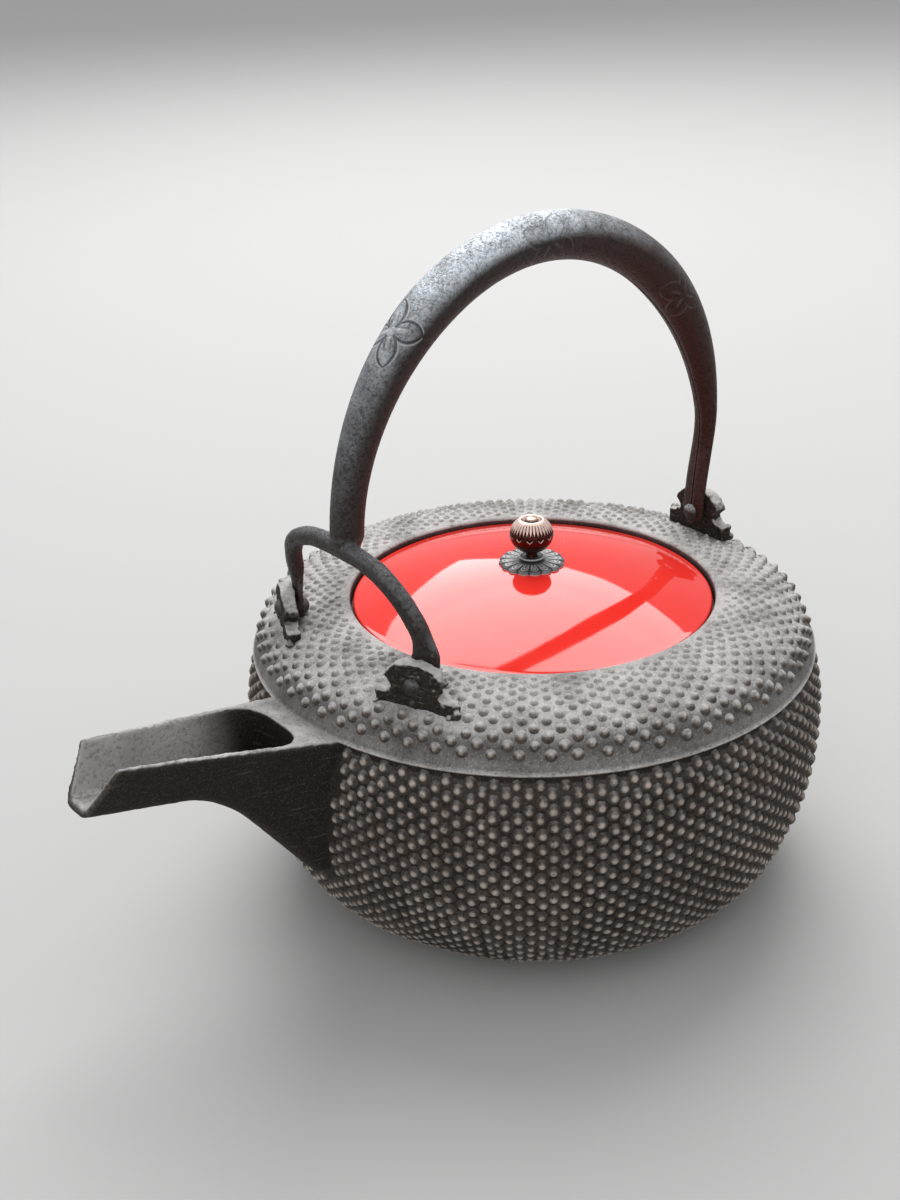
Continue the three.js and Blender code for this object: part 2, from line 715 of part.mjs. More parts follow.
// Chrysanthemum knob: a flattened ball, fluted over its upper side, with a plain centre button.
function knob() {
  const radius = knobDiameter / 2;
  const middle = knobBottom + knobHeight / 2;
  const button = knobButtonDiameter / 2;
  const fluteFade = (t) => THREE.MathUtils.smoothstep(t, -0.3, 0.5);
  const ball = steps(knobNeckAngle, Math.acos(button / radius), 9).map((t) => ({
    radius: radius * Math.cos(t), height: middle + knobHeight / 2 * Math.sin(t), flute: fluteFade(t),
  }));
  const top = ball.at(-1).height;
  const rings = [{ radius: stemDiameter / 2, height: stemBottom, flute: 0 }, ...ball,
    { radius: button * 0.94, height: top + knobButtonRise / 2, flute: 0 },
    { radius: button * 0.6, height: top + knobButtonRise, flute: 0 }];
  const frames = rings.map(({ height }) => ({
    origin: new THREE.Vector3(0, 0, height),
    across: new THREE.Vector3(1, 0, 0),
    up: new THREE.Vector3(0, 1, 0),
  }));
  const skin = sweep(frames, (share) => {
    const ring = rings[Math.round(share * (rings.length - 1))];
    return steps(0, 2 * Math.PI, knobPetals * 2).slice(1).map((angle) => {
      const flute = 1 + knobFlute * ring.flute * Math.cos(angle * knobPetals);
      return new THREE.Vector2(ring.radius * flute * Math.cos(angle), ring.radius * flute * Math.sin(angle));
    });
  });
  const socket = rod(shankHole, stemBottom - seatGap, middle + seatGap);
  return toGeometry(toSolid(skin).subtract(toSolid(socket)));
}

// Split shank: through the lid, its two legs spread under the back washer.
function knobShank() {
  const top = knobBottom + knobHeight / 2;
  const legs = new THREE.BoxGeometry(2 * legLength, legWidth, legThickness)
    .translate(0, 0, legTop - legThickness / 2);
  return toGeometry(toSolid(rod(shankDiameter / 2, legTop - legThickness, top)).add(toSolid(legs)));
}

function backWasher() {
  const outline = new THREE.Shape().absarc(0, 0, backWasherDiameter / 2, 0, 2 * Math.PI);
  return flatRing(outline, shankHole, backWasherThickness)
    .translate(0, 0, backWasherTop - backWasherThickness);
}

function piece(name, geometry, finish) {
  const skin = geometry.index ? geometry.toNonIndexed() : geometry;
  skin.computeVertexNormals();
  const mesh = new THREE.Mesh(skin, new THREE.MeshStandardMaterial(finish));
  mesh.name = name;
  return mesh;
}

const kettle = new THREE.Group();
const envelope = bodyEnvelope();
kettle.add(piece('kettle_body', kettleBody(), finishes.iron));
for (const [place, station] of Object.entries(lugStations)) {
  kettle.add(piece(`${place}_lug`, lugPlate(station, envelope), finishes.iron));
  kettle.add(piece(`${place}_rivet`, rivet(station), finishes.handleIron));
}
kettle.add(piece('handle_tube', bowTube(), finishes.handleIron));
kettle.add(piece('front_fork', frontFork(), finishes.handleIron));

const lid = new THREE.Group();
lid.add(piece('lid_disc', lidDisc(), finishes.lacquer));
lid.add(piece('flower_washer', flowerWasher(), finishes.greyMetal));
lid.add(piece('knob_collar', knobCollar(), finishes.bronze));
lid.add(piece('knob', knob(), finishes.bronze));
lid.add(piece('knob_shank', knobShank(), finishes.bronze));
lid.add(piece('back_washer', backWasher(), finishes.greyMetal));
kettle.add(lid);

export default kettle;
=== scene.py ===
# %% [markdown]
# Cast iron sake kettle
#
# The real kettle is a low, round iron casting with a hailstone skin: thousands of small pointed
# bumps that the founder pricked into the sand of the mould, one row after another. An open trough
# spout comes out of its side, three lug plates on its shoulder hold a hollow wrought bail, and a
# red lacquered lid with a bronze chrysanthemum knob sits in its mouth.
#
# The lesson loads the packed CAD model as a fixed frame and dresses it. What repeats or follows a
# path is made with Geometry Nodes, what was cast or forged in one lump is fused with a voxel
# remesh, and what was turned or spun is a revolved profile.

# %% The frame, and the tools that the whole lesson uses
import json
import math

import bpy
import numpy as np
from mathutils import Matrix, Vector, noise

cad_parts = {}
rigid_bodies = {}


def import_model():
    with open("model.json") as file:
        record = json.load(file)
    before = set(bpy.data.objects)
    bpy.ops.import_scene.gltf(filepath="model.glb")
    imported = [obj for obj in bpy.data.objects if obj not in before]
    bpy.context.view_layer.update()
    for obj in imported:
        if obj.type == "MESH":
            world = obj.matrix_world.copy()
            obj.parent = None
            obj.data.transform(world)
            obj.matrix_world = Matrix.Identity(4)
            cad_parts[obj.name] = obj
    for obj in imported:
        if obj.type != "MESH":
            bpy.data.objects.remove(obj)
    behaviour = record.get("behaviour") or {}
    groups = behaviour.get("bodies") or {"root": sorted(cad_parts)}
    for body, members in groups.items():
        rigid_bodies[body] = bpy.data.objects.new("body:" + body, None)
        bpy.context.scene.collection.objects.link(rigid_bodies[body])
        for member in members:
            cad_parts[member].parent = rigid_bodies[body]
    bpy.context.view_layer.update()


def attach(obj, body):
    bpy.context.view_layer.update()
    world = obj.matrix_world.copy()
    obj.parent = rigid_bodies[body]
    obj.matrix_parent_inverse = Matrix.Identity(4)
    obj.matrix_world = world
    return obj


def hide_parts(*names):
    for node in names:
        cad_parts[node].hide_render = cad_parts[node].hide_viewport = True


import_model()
MM = 0.001
TURN = 2 * math.pi

# %% [markdown]
# The camera stands where the photographer stood: a little above the kettle, looking down across
# the spout towards the rear of the bail. Its place, its axes and its lens come from a fit to the
# photograph, so the picture and the model can be laid over each other. The Standard view transform
# keeps the lid as red as its finish says, where a filmic one would bleach it.

# %% Camera
PHOTO_HEIGHT, FOCAL_PIXELS, SENSOR = 1200, 1720.1, 36
CAMERA_PLACE = Vector((-287.6, -341.5, 293.7)) * MM
look = Vector((0.5447, 0.7206, -0.429)).normalized()
right = Vector((0.79, -0.6125, -0.0258))
right = (right - look * right.dot(look)).normalized()
up = right.cross(look)
lens_data = bpy.data.cameras.new("photographer")
lens_data.sensor_fit, lens_data.sensor_height = "VERTICAL", SENSOR
lens_data.lens = FOCAL_PIXELS / PHOTO_HEIGHT * SENSOR
lens_data.clip_start = 0.02
photographer = bpy.data.objects.new("photographer", lens_data)
photographer.matrix_world = Matrix.Translation(CAMERA_PLACE) @ (
    Matrix((right, up, -look)).transposed().to_4x4())
bpy.context.scene.collection.objects.link(photographer)
bpy.context.scene.camera = photographer
bpy.context.scene.view_settings.view_transform = "Standard"
print("lens", round(lens_data.lens, 2), "mm")

# %% [markdown]
# A mesh in Blender is only a list of corners and a list of faces, so a few plain helpers carry the
# whole model. One makes an object from such lists, one turns modifiers into plain mesh, one
# writes a value for each corner, which node trees and finishes can read later, and one gives a
# piece its finish.


# %% Mesh helpers
def make_object(name, corners, faces=(), edges=()):
    mesh = bpy.data.meshes.new(name)
    mesh.from_pydata([tuple(corner) for corner in corners], edges, faces)
    mesh.update()
    made = bpy.data.objects.new(name, mesh)
    bpy.context.scene.collection.objects.link(made)
    return made


def store(piece, label, values, kind="FLOAT", field="value"):
    """Writes one value for each corner under a name."""
    piece.data.attributes.new(label, kind, "POINT").data.foreach_set(field, values)


def settle(piece):
    """Turns a piece's modifiers into its plain mesh."""
    graph = bpy.context.evaluated_depsgraph_get()
    mesh = bpy.data.meshes.new_from_object(piece.evaluated_get(graph), depsgraph=graph)
    mesh.name = piece.name
    piece.modifiers.clear()
    old, piece.data = piece.data, mesh
    bpy.data.meshes.remove(old)
    return piece


def soften(piece, angle):
    """Smooth shading, with the edges sharper than the angle kept sharp."""
    piece.data.shade_smooth()
    piece.data.set_sharp_from_angle(angle=math.radians(angle))


def dress(piece, finish, angle):
    """Gives a piece its one finish, and its shading."""
    piece.data.materials.clear()
    piece.data.materials.append(finish)
    soften(piece, angle)


def discard(*pieces):
    for piece in pieces:
        bpy.data.objects.remove(piece)


def triangles(piece):
    return sum(len(face.vertices) - 2 for face in piece.data.polygons)


print("meshes so far:", len(bpy.data.meshes))

# %% [markdown]
# Most pieces are skins over rings of corners. A turned piece is a profile revolved about Z, as a
# potter or a pattern maker would make it. A drawn or forged piece is a row of rings, which may
# lean and change size, with a cap at each end.


# %% Skins over rings
def revolve(name, profile, segments):
    """Turns a profile of (radius, height) pairs, in millimetres, about Z. A radius of 0 is a pole."""
    corners, rings, faces = [], [], []
    for radius, height in profile:
        count = 1 if radius == 0 else segments
        rings.append((len(corners), count))
        for k in range(count):
            angle = TURN * k / count
            corners.append((radius * math.cos(angle) * MM, radius * math.sin(angle) * MM, height * MM))
    for (low, low_count), (high, high_count) in zip(rings, rings[1:]):
        for k in range(segments):
            ring = [low + k % low_count, low + (k + 1) % low_count,
                    high + (k + 1) % high_count, high + k % high_count]
            faces.append(tuple(dict.fromkeys(ring)))
    return make_object(name, corners, [face for face in faces if len(face) > 2])


def bands(rings, count):
    """The faces between rings of equal count, one ring after another."""
    return [(i * count + k, i * count + (k + 1) % count, (i + 1) * count + (k + 1) % count,
             (i + 1) * count + k) for i in range(rings - 1) for k in range(count)]


def skin_rings(name, rings):
    """Skins rings of equal count, given in millimetres, and caps both ends."""
    count = len(rings[0])
    corners = [[value * MM for value in corner] for ring in rings for corner in ring]
    caps = [tuple(range(count))[::-1], tuple(range(len(corners) - count, len(corners)))]
    return make_object(name, corners, bands(len(rings), count) + caps)


def block(name, outline, low, high):
    """An outline in the XY plane, in millimetres, raised from one height to another."""
    return skin_rings(name, [[(x, y, z) for x, y in outline] for z in (low, high)])


print("faces of a plain block:", len(bands(2, 4)) + 2)

# %% [markdown]
# Node trees, for geometry and for materials alike, read best when they are written like sentences.
# This small writer adds a node, sets its values and wires its inputs in one call, so each tree
# below is a short list of what happens to the mesh or to the colour.


# %% Node helpers
class Wiring:
    """Writes nodes into a tree: an input takes either a value or another node's output."""

    def __init__(self, tree):
        self.tree = tree

    def add(self, kind, inputs=None, **settings):
        node = self.tree.nodes.new(kind)
        for setting, value in settings.items():
            setattr(node, setting, value)
        for key, value in (inputs or {}).items():
            if isinstance(value, bpy.types.NodeSocket):
                self.tree.links.new(value, node.inputs[key])
            else:
                node.inputs[key].default_value = value
        return node

    def maths(self, operation, *values):
        return self.add("ShaderNodeMath", dict(enumerate(values)), operation=operation).outputs[0]

    def times(self, first, *others):
        """The product of all values."""
        for other in others:
            first = self.maths("MULTIPLY", first, other)
        return first

    def minus(self, first, second):
        return self.maths("SUBTRACT", first, second)

    def scaled(self, value, factor, offset):
        """A value times a factor, plus an offset."""
        return self.maths("MULTIPLY_ADD", value, factor, offset)

    def apart(self, value, centre):
        """How far a value is from a centre."""
        return self.maths("ABSOLUTE", self.minus(value, centre))

    def spread(self, value, from_low, from_high, to_low=0.0, to_high=1.0):
        """Moves a value from one range to another, with soft ends."""
        return self.add("ShaderNodeMapRange", {
            "Value": value, "From Min": from_low, "From Max": from_high,
            "To Min": to_low, "To Max": to_high}, interpolation_type="SMOOTHSTEP").outputs[0]

    def vector(self, operation, *values):
        return self.add("ShaderNodeVectorMath", dict(enumerate(values)), operation=operation).outputs[0]

    def xyz(self, **parts):
        return self.add("ShaderNodeCombineXYZ", parts).outputs[0]

    def part(self, vector, axis):
        return self.add("ShaderNodeSeparateXYZ", {0: vector}).outputs[axis]


print("the writer can:", [name for name in vars(Wiring) if not name.startswith("_")])

# %% [markdown]
# Finishes. Old cast iron is never one colour: it is nearly black in its pits, brown where it has
# oxidised, and rubbed to a pale grey on everything that stands proud. Three effects are shared by
# several finishes here, so each is a node group with its own inputs: the grain of the sand mould,
# the pale rub on edges and tips, which on the tips is also a painted highlight, and the dust that
# settles on whatever faces upwards, which on the bail is a painted sheen instead.


# %% Finish helpers
class Painting(Wiring):
    """A writer for shader trees."""

    def mix(self, factor, first, second):
        node = self.add("ShaderNodeMix", {0: factor}, data_type="RGBA")
        for socket, value in ((node.inputs[6], first), (node.inputs[7], second)):
            if isinstance(value, bpy.types.NodeSocket):
                self.tree.links.new(value, socket)
            else:
                socket.default_value = (*value, 1)
        return node.outputs[2]

    def place(self):
        return self.add("ShaderNodeTexCoord").outputs["Object"]

    def stored(self, label):
        return self.add("ShaderNodeAttribute", attribute_name=label).outputs["Fac"]

    def noise(self, place, scale, detail, roughness=0.5):
        return self.add("ShaderNodeTexNoise", {
            "Vector": place, "Scale": scale, "Detail": detail, "Roughness": roughness}).outputs[0]

    def group(self, tree, inputs):
        return self.add("ShaderNodeGroup", inputs, node_tree=tree).outputs

    def bump(self, height, strength, distance):
        return self.add("ShaderNodeBump", {
            "Height": height, "Strength": strength, "Distance": distance * MM}).outputs[0]

    def wire(self, shader, **sockets):
        for socket, output in sockets.items():
            self.tree.links.new(output, shader.inputs[socket.replace("_", " ")])


def effect(name, inputs, outputs):
    """An empty shader group. Inputs are {name: default}, outputs a list of names."""
    tree = bpy.data.node_groups.new(name, "ShaderNodeTree")
    for label, default in inputs.items():
        socket = tree.interface.new_socket(label, in_out="INPUT", socket_type="NodeSocketFloat")
        socket.default_value = default
    for label in outputs:
        tree.interface.new_socket(label, in_out="OUTPUT", socket_type="NodeSocketFloat")
    paint = Painting(tree)
    return paint, paint.add("NodeGroupInput").outputs


def finish_material(name, **shader_values):
    """A material with its shader, whose plain values are set on the shader's own sockets."""
    material = bpy.data.materials.new(name)
    material.use_nodes = True
    shader = material.node_tree.nodes["Principled BSDF"]
    for socket, value in shader_values.items():
        shader.inputs[socket.replace("_", " ")].default_value = value
    return material, Painting(material.node_tree), shader


print("steps of a finish:", [name for name in vars(Painting) if not name.startswith("_")])

# %% [markdown]
# The three effects. The grain is noise at two sizes, the rub and its painted highlight read how
# pointed the skin is and the value that the bumps carry from foot to tip, and the dust and painted
# sheen read how far the skin looks upwards.


# %% Shared effects
def sand_grain():
    """Pits and grains left by the sand of the mould, coarse and fine together, and bright specks."""
    paint, given = effect("sand grain", {"Size": 900.0, "Pits": 0.5}, ["Height", "Pit mask", "Speckle"])
    place = paint.place()
    coarse = paint.noise(place, given["Size"], 4.0, 0.65)
    cells = paint.add("ShaderNodeTexVoronoi", {
        "Vector": place, "Scale": paint.times(given["Size"], 3.1)}).outputs[0]
    pits = paint.spread(coarse, 0.5, 0.3)
    specks = paint.noise(place, paint.times(given["Size"], 2.4), 1.0)
    paint.add("NodeGroupOutput", {
        "Height": paint.minus(paint.scaled(cells, 0.35, coarse), paint.times(pits, given["Pits"])),
        "Pit mask": pits, "Speckle": paint.spread(specks, 0.54, 0.7)})
    return paint.tree


def rub_and_highlight():
    """How far a place stands proud: the flanks and tips of the bumps, and the edges of the casting. The
    pale rub on the tips is wear and painted highlight together.
    """
    paint, given = effect("rubbed edges", {"Edge": 0.5, "Tips": 1.0}, ["Rub", "Flank"])
    pointed = paint.add("ShaderNodeNewGeometry").outputs["Pointiness"]
    edge = paint.times(paint.spread(pointed, 0.5, 0.6), given["Edge"])
    height = paint.stored("tip")
    tip = paint.times(paint.spread(height, 0.45, 1.0), given["Tips"])
    patches = paint.spread(paint.noise(paint.place(), 70.0, 3.0), 0.3, 0.7, 0.6, 1.0)
    paint.add("NodeGroupOutput", {
        "Rub": paint.times(paint.maths("MAXIMUM", edge, tip), patches),
        "Flank": paint.spread(height, 0.38, 0.95)})
    return paint.tree


def upward_dust_and_sheen():
    """A thin pale film on what faces upwards, thinner where it has been wiped: dust on the cast iron and
    the lacquer, and a painted sheen on the bail.
    """
    paint, given = effect("settled dust", {
        "Amount": 0.5, "Blotches": 60.0, "From lift": 0.15, "To lift": 0.9, "Off the tips": 0.0}, ["Dust"])
    facing = paint.add("ShaderNodeNewGeometry").outputs["Normal"]
    lift = paint.minus(paint.part(facing, "Z"), paint.times(paint.stored("tip"), given["Off the tips"]))
    blotches = paint.noise(paint.place(), given["Blotches"], 5.0, 0.6)
    film = paint.times(paint.spread(lift, given["From lift"], given["To lift"]),
                       paint.spread(blotches, 0.25, 0.65, 0.35, 1.0), given["Amount"])
    paint.add("NodeGroupOutput", {"Dust": film})
    return paint.tree


GRAIN, RUB_AND_HIGHLIGHT, DUST_AND_SHEEN = sand_grain(), rub_and_highlight(), upward_dust_and_sheen()
print("effects:", [group.name for group in (GRAIN, RUB_AND_HIGHLIGHT, DUST_AND_SHEEN)])

# %% [markdown]
# The iron of the kettle. The feet of the bumps and the ground between them are painted near black:
# partly soot and old rust, partly painted shade in the recesses. The tips are worn pale and also
# painted as highlights, and what faces upwards carries a light dust with bright specks in it. The
# channel of the spout has its own grey film, and the spout and the lugs show fine layers. Colour,
# roughness and relief all come from the same masks, because on a real surface one cause makes all three.

# %% Cast iron
PIT_AND_SHADE, DARK_BROWN, BROWN = (0.009, 0.006, 0.004), (0.02, 0.012, 0.008), (0.056, 0.034, 0.022)
PALE, DUST_GREY, SPARK = (0.62, 0.55, 0.49), (0.52, 0.507, 0.495), (0.75, 0.73, 0.71)


def cast_iron(name, body, tips, edge, lifts, speckle, off_tips=0.0, layers=0.0):
    """Iron with its own colour, rub, dust and layers, with painted shade in the recesses and painted
    highlights on the tips. Lifts say where dust begins and is full.
    """
    material, paint, shader = finish_material(name, Metallic=0.15, Specular_IOR_Level=0.35)
    grain = paint.group(GRAIN, {"Size": 850.0, "Pits": 0.6})
    rub = paint.group(RUB_AND_HIGHLIGHT, {"Edge": edge, "Tips": tips})
    dust = paint.group(DUST_AND_SHEEN, {
        "Amount": 0.9, "From lift": lifts[0], "To lift": lifts[1], "Off the tips": off_tips})["Dust"]
    place = paint.place()
    clouds = paint.noise(place, 28.0, 4.0)
    channel_film = paint.times(paint.stored("inside"), paint.spread(clouds, 0.25, 0.7, 0.45, 0.75))
    # Near black at the feet of the bumps and on the ground between them: soot, and painted shade in the
    # recesses.
    colour = paint.mix(paint.spread(clouds, 0.3, 0.75, 0.0, 0.35), PIT_AND_SHADE, body)
    colour = paint.mix(rub["Flank"], colour, body)
    # Pale tips: worn, and widened into painted highlights.
    colour = paint.mix(rub["Rub"], colour, PALE)
    colour = paint.mix(paint.times(grain["Pit mask"], 0.5), colour, PIT_AND_SHADE)
    colour = paint.mix(paint.maths("MAXIMUM", dust, channel_film), colour, DUST_GREY)
    colour = paint.mix(paint.times(grain["Pit mask"], 0.32), colour, PIT_AND_SHADE)
    colour = paint.mix(paint.times(grain["Speckle"], paint.scaled(dust, speckle, 0.04)), colour, SPARK)
    flattened = paint.vector("MULTIPLY", place, (0.2, 0.2, 1.7))
    seams = paint.noise(flattened, 700.0, 3.0)
    colour = paint.mix(paint.spread(seams, 0.6, 0.75, 0.0, 0.12 * layers), colour, PALE)
    relief = paint.bump(paint.scaled(seams, layers, grain["Height"]), 0.6, 0.35)
    paint.wire(shader, Base_Color=colour, Roughness=paint.spread(rub["Rub"], 0.0, 1.0, 0.78, 0.42),
               Normal=relief)
    return material


wall_iron = cast_iron("wall iron", BROWN, tips=0.7, edge=0.2, lifts=(0.55, 1.2), speckle=0.1)
# On the shoulder the dust lifts are steep, so the bumps' tops come out pale and their lower sides dark:
# dust, and painted light and shade on the bumps.
shoulder_iron = cast_iron("shoulder iron", BROWN, tips=0.5, edge=0.3, lifts=(0.14, 0.8), speckle=0.4,
                          off_tips=0.1)
spout_iron = cast_iron("spout iron", DARK_BROWN, tips=0.0, edge=0.2, lifts=(0.35, 1.05), speckle=0.3,
                       layers=0.5)
lug_iron = cast_iron("lug iron", DARK_BROWN, tips=0.0, edge=0.3, lifts=(0.2, 0.8), speckle=0.2,
                     layers=1.2)
print("cast iron finishes:", [iron.name for iron in (wall_iron, shoulder_iron, spout_iron, lug_iron)])

# %% [markdown]
# The body's profile. A founder would strike the clay core and the mould with a board cut to this
# line. The numbers are those of the CAD model: a round lower wall, a ridge that overhangs it by a
# little more than a millimetre, and a shoulder that rolls over to a sunk seat for the lid.

# %% Body profile
BASE_RADIUS, BASE_ROUND = 54.5, 1.5
BELLY_RADIUS, BELLY_HEIGHT = 81.9, 52.2
RIDGE_RADIUS, RIDGE_HEIGHT, RIDGE_STEP = 80.4, 71.1, 1.3
BAND_HOLLOW, BAND_HEIGHT = 1.3, 9
RIM_RADIUS, RIM_HEIGHT, MOUTH_RADIUS = 56.0, 85.1, 52.0
SEAT_HEIGHT, SEAT_INNER = 80.0, 46.5
WALL = 3.0


def superellipse(count, roundness):
    """Quarter of a superellipse, as (cosine side, sine side) pairs."""
    t = np.linspace(0, math.pi / 2, count)
    return np.stack([np.abs(np.cos(t)) ** (2 / roundness), np.abs(np.sin(t)) ** (2 / roundness)], 1)


def lower_wall(bottom, foot, belly, count):
    across, rise = superellipse(count, 2.2).T
    return np.stack([foot + (belly - foot) * rise, bottom + (BELLY_HEIGHT - bottom) * (1 - across)], 1)


def upper_wall(belly, top, height, count):
    t = np.linspace(0, 1, count)[1:]
    return np.stack([belly + (top - belly) * t * t, BELLY_HEIGHT + (height - BELLY_HEIGHT) * t], 1)


def shoulder(inset, count):
    """A superellipse, drawn in a little over the ridge so that the band there looks upwards."""
    out, rise = superellipse(count, 2.3).T
    heights = RIDGE_HEIGHT + (RIM_HEIGHT - inset - RIDGE_HEIGHT) * rise
    drawn_in = BAND_HOLLOW * np.sin(np.clip((heights - RIDGE_HEIGHT) / BAND_HEIGHT, 0, 1) * math.pi)
    return np.stack([RIM_RADIUS + (RIDGE_RADIUS - inset - RIM_RADIUS) * out - drawn_in, heights], 1)


def outside_line(fine=1):
    """The skin from the foot to the rim, without its bumps."""
    under = RIDGE_RADIUS - RIDGE_STEP
    return np.concatenate([
        lower_wall(BASE_ROUND, BASE_RADIUS, BELLY_RADIUS, 34 * fine),
        upper_wall(BELLY_RADIUS, under, RIDGE_HEIGHT - RIDGE_STEP, 12 * fine),
        [[under + 0.1, RIDGE_HEIGHT - 1.1], [under + 0.5, RIDGE_HEIGHT - 0.7],
         [RIDGE_RADIUS - 0.1, RIDGE_HEIGHT - 0.45], [RIDGE_RADIUS + 0.15, RIDGE_HEIGHT - 0.3],
         [RIDGE_RADIUS + 0.15, RIDGE_HEIGHT - 0.05]],
        shoulder(0, 30 * fine)])


skin = outside_line()
inner_skin = np.concatenate([
    [[SEAT_INNER, SEAT_HEIGHT - WALL]], shoulder(WALL, 14)[1:-1][::-1],
    upper_wall(BELLY_RADIUS - WALL, RIDGE_RADIUS - RIDGE_STEP - WALL, RIDGE_HEIGHT - RIDGE_STEP, 6)[::-1],
    lower_wall(WALL, BASE_RADIUS - WALL / 2, BELLY_RADIUS - WALL, 20)[::-1]])
mouth = [[MOUTH_RADIUS + 1.1, RIM_HEIGHT], [MOUTH_RADIUS + 0.4, RIM_HEIGHT - 0.2],
         [MOUTH_RADIUS, RIM_HEIGHT - 0.8], [MOUTH_RADIUS, SEAT_HEIGHT + 0.3],
         [MOUTH_RADIUS - 0.4, SEAT_HEIGHT], [SEAT_INNER + 0.4, SEAT_HEIGHT],
         [SEAT_INNER, SEAT_HEIGHT - 0.4]]
section = [[0, 0], [BASE_RADIUS - BASE_ROUND, 0], *skin, *mouth, *inner_skin, [0, WALL]]
kettle_shell = revolve("kettle_shell", section, 216)
print("shell triangles:", triangles(kettle_shell))

# %% [markdown]
# The ridge is rubbed like the tips of the bumps, and its crest is painted pale as a thin highlight
# line. A value that is 1 on its crest and fades over less than a millimetre tells the finish where.

# %% Rubbed and highlighted ridge
RIDGE_FADE = 0.8
crest = np.array([RIDGE_RADIUS + 0.1, RIDGE_HEIGHT - 0.15])
from_crest = [math.hypot(corner.co.xy.length / MM - crest[0], corner.co.z / MM - crest[1])
              for corner in kettle_shell.data.vertices]
store(kettle_shell, "tip", [max(0, 1 - distance / RIDGE_FADE) for distance in from_crest])
print("corners on the ridge:", sum(distance < RIDGE_FADE for distance in from_crest))

# %% [markdown]
# The spout is a trough: a straight nose, a bent elbow and a steep heel that runs down the wall. It
# is lofted from sections across it, once for its outside and once for its channel, and the channel
# is cut away. Under the bridge at its root the channel runs on through the wall of the kettle.

# %% Spout lines
SPOUT_ROOT_X, SPOUT_TIP_X, SPOUT_LIP_X = -78.3, -137.8, -146.3
SPOUT_TIP_Z, SPOUT_LIP_Z = 82.7, 69.1
SPOUT_ELBOW, SPOUT_HEEL = (-108.6, 61.4), (-81.8, 26.3)
ROOT_HALF, TIP_HALF, FLOOR_ROOT_HALF, FLOOR_LIP_HALF, FLOOR_ROUND = 16.5, 10.3, 7.5, 5.6, 3
ELBOW_FROM, ELBOW_TO = 0.3, 0.38  # how far the bend reaches along the nose and along the heel
SPOUT_WALL, THROUGH_WALL_X = 2.3, -71.4


def between(x, start, end, first, last):
    """Runs straight from one value at the start to another at the end, and on beyond both."""
    return first + (last - first) * (x - start) / (end - start)


def spout_top(x):
    return between(x, SPOUT_ROOT_X, SPOUT_TIP_X, RIDGE_HEIGHT, SPOUT_TIP_Z)


def spout_half_width(x):
    return between(x, SPOUT_ROOT_X, SPOUT_TIP_X, ROOT_HALF, TIP_HALF)


def underside():
    """Points along the bottom of the spout, from beyond its lip to its heel on the wall."""
    nose, elbow, heel = (np.array(p) for p in ((SPOUT_LIP_X, SPOUT_LIP_Z), SPOUT_ELBOW, SPOUT_HEEL))
    start, end = elbow + ELBOW_FROM * (nose - elbow), elbow + ELBOW_TO * (heel - elbow)
    t = np.linspace(0, 1, 15)[:, None]
    bend = (1 - t) ** 2 * start + 2 * t * (1 - t) * elbow + t ** 2 * end
    return np.concatenate([[nose - 0.2 * (elbow - nose)], bend, [heel]])


def inward(line, by):
    """A line in side view moved square to itself."""
    run = np.gradient(line, axis=0)
    run /= np.linalg.norm(run, axis=1)[:, None]
    return line + by * np.stack([-run[:, 1], run[:, 0]], 1)


def into_body(line):
    """Leads a line on from its end, level, through the wall of the kettle."""
    return np.concatenate([line, [[THROUGH_WALL_X, line[-1][1]]]])


outer_line = underside()
inner_line = inward(outer_line, SPOUT_WALL)
outer_line, inner_line = into_body(outer_line), into_body(inner_line)
print("spout length", round(SPOUT_ROOT_X - SPOUT_LIP_X, 1), "mm")

# %% [markdown]
# A section of the spout leans outwards and has a rounded floor. The same loft makes the outside,
# the channel and the covered part of the channel under the bridge. A slot with an arched end says
# where the channel is open above.

# %% Spout solids
BRIDGE, SLOT_END_X, SLOT_CORNER = 2.6, -87.0, 9.0
SLOT_FAR_X, SLOT_LOW, ABOVE = -155, 26, 14  # the blocks that cut are well clear of the spout
FAR_X, CUT_HALF, CUT_LOW, CUT_HIGH = -190, 30, 40, 110


def loft(name, line, inset, top):
    """Skins sections with leaning sides and a rounded floor, from end to end, and caps them."""
    rings, corner = [], FLOOR_ROUND - inset / 2
    for x, bottom in line:
        low = between(x, SPOUT_ROOT_X, SPOUT_LIP_X, FLOOR_ROOT_HALF, FLOOR_LIP_HALF) - inset
        high = spout_half_width(x) - inset
        lean = (high - low) / (spout_top(x) - bottom + inset)
        half = [(low + lean * (top(x) - bottom + inset), top(x))]
        for angle in np.linspace(0, math.pi / 2, 6):
            height = bottom + corner * (1 - math.sin(angle))
            half.append((low + lean * (height - bottom + inset) - corner * (1 - math.cos(angle)), height))
        rings.append([(x, y, z) for y, z in half] + [(x, -y, z) for y, z in reversed(half)])
    return skin_rings(name, rings)


def rectangle(back, front, half):
    return [(back, -half), (front, -half), (front, half), (back, half)]


def carve(piece, tools, operation="DIFFERENCE"):
    for tool in tools:
        cut = piece.modifiers.new(operation, "BOOLEAN")
        cut.operation, cut.object, cut.solver = operation, tool, "EXACT"
    return settle(piece)


trough = loft("trough", outer_line, 0, spout_top)
channel = loft("channel", inner_line, SPOUT_WALL, lambda x: spout_top(x) + ABOVE)
under_bridge = loft("under_bridge", inner_line, SPOUT_WALL, lambda x: spout_top(x) - BRIDGE)

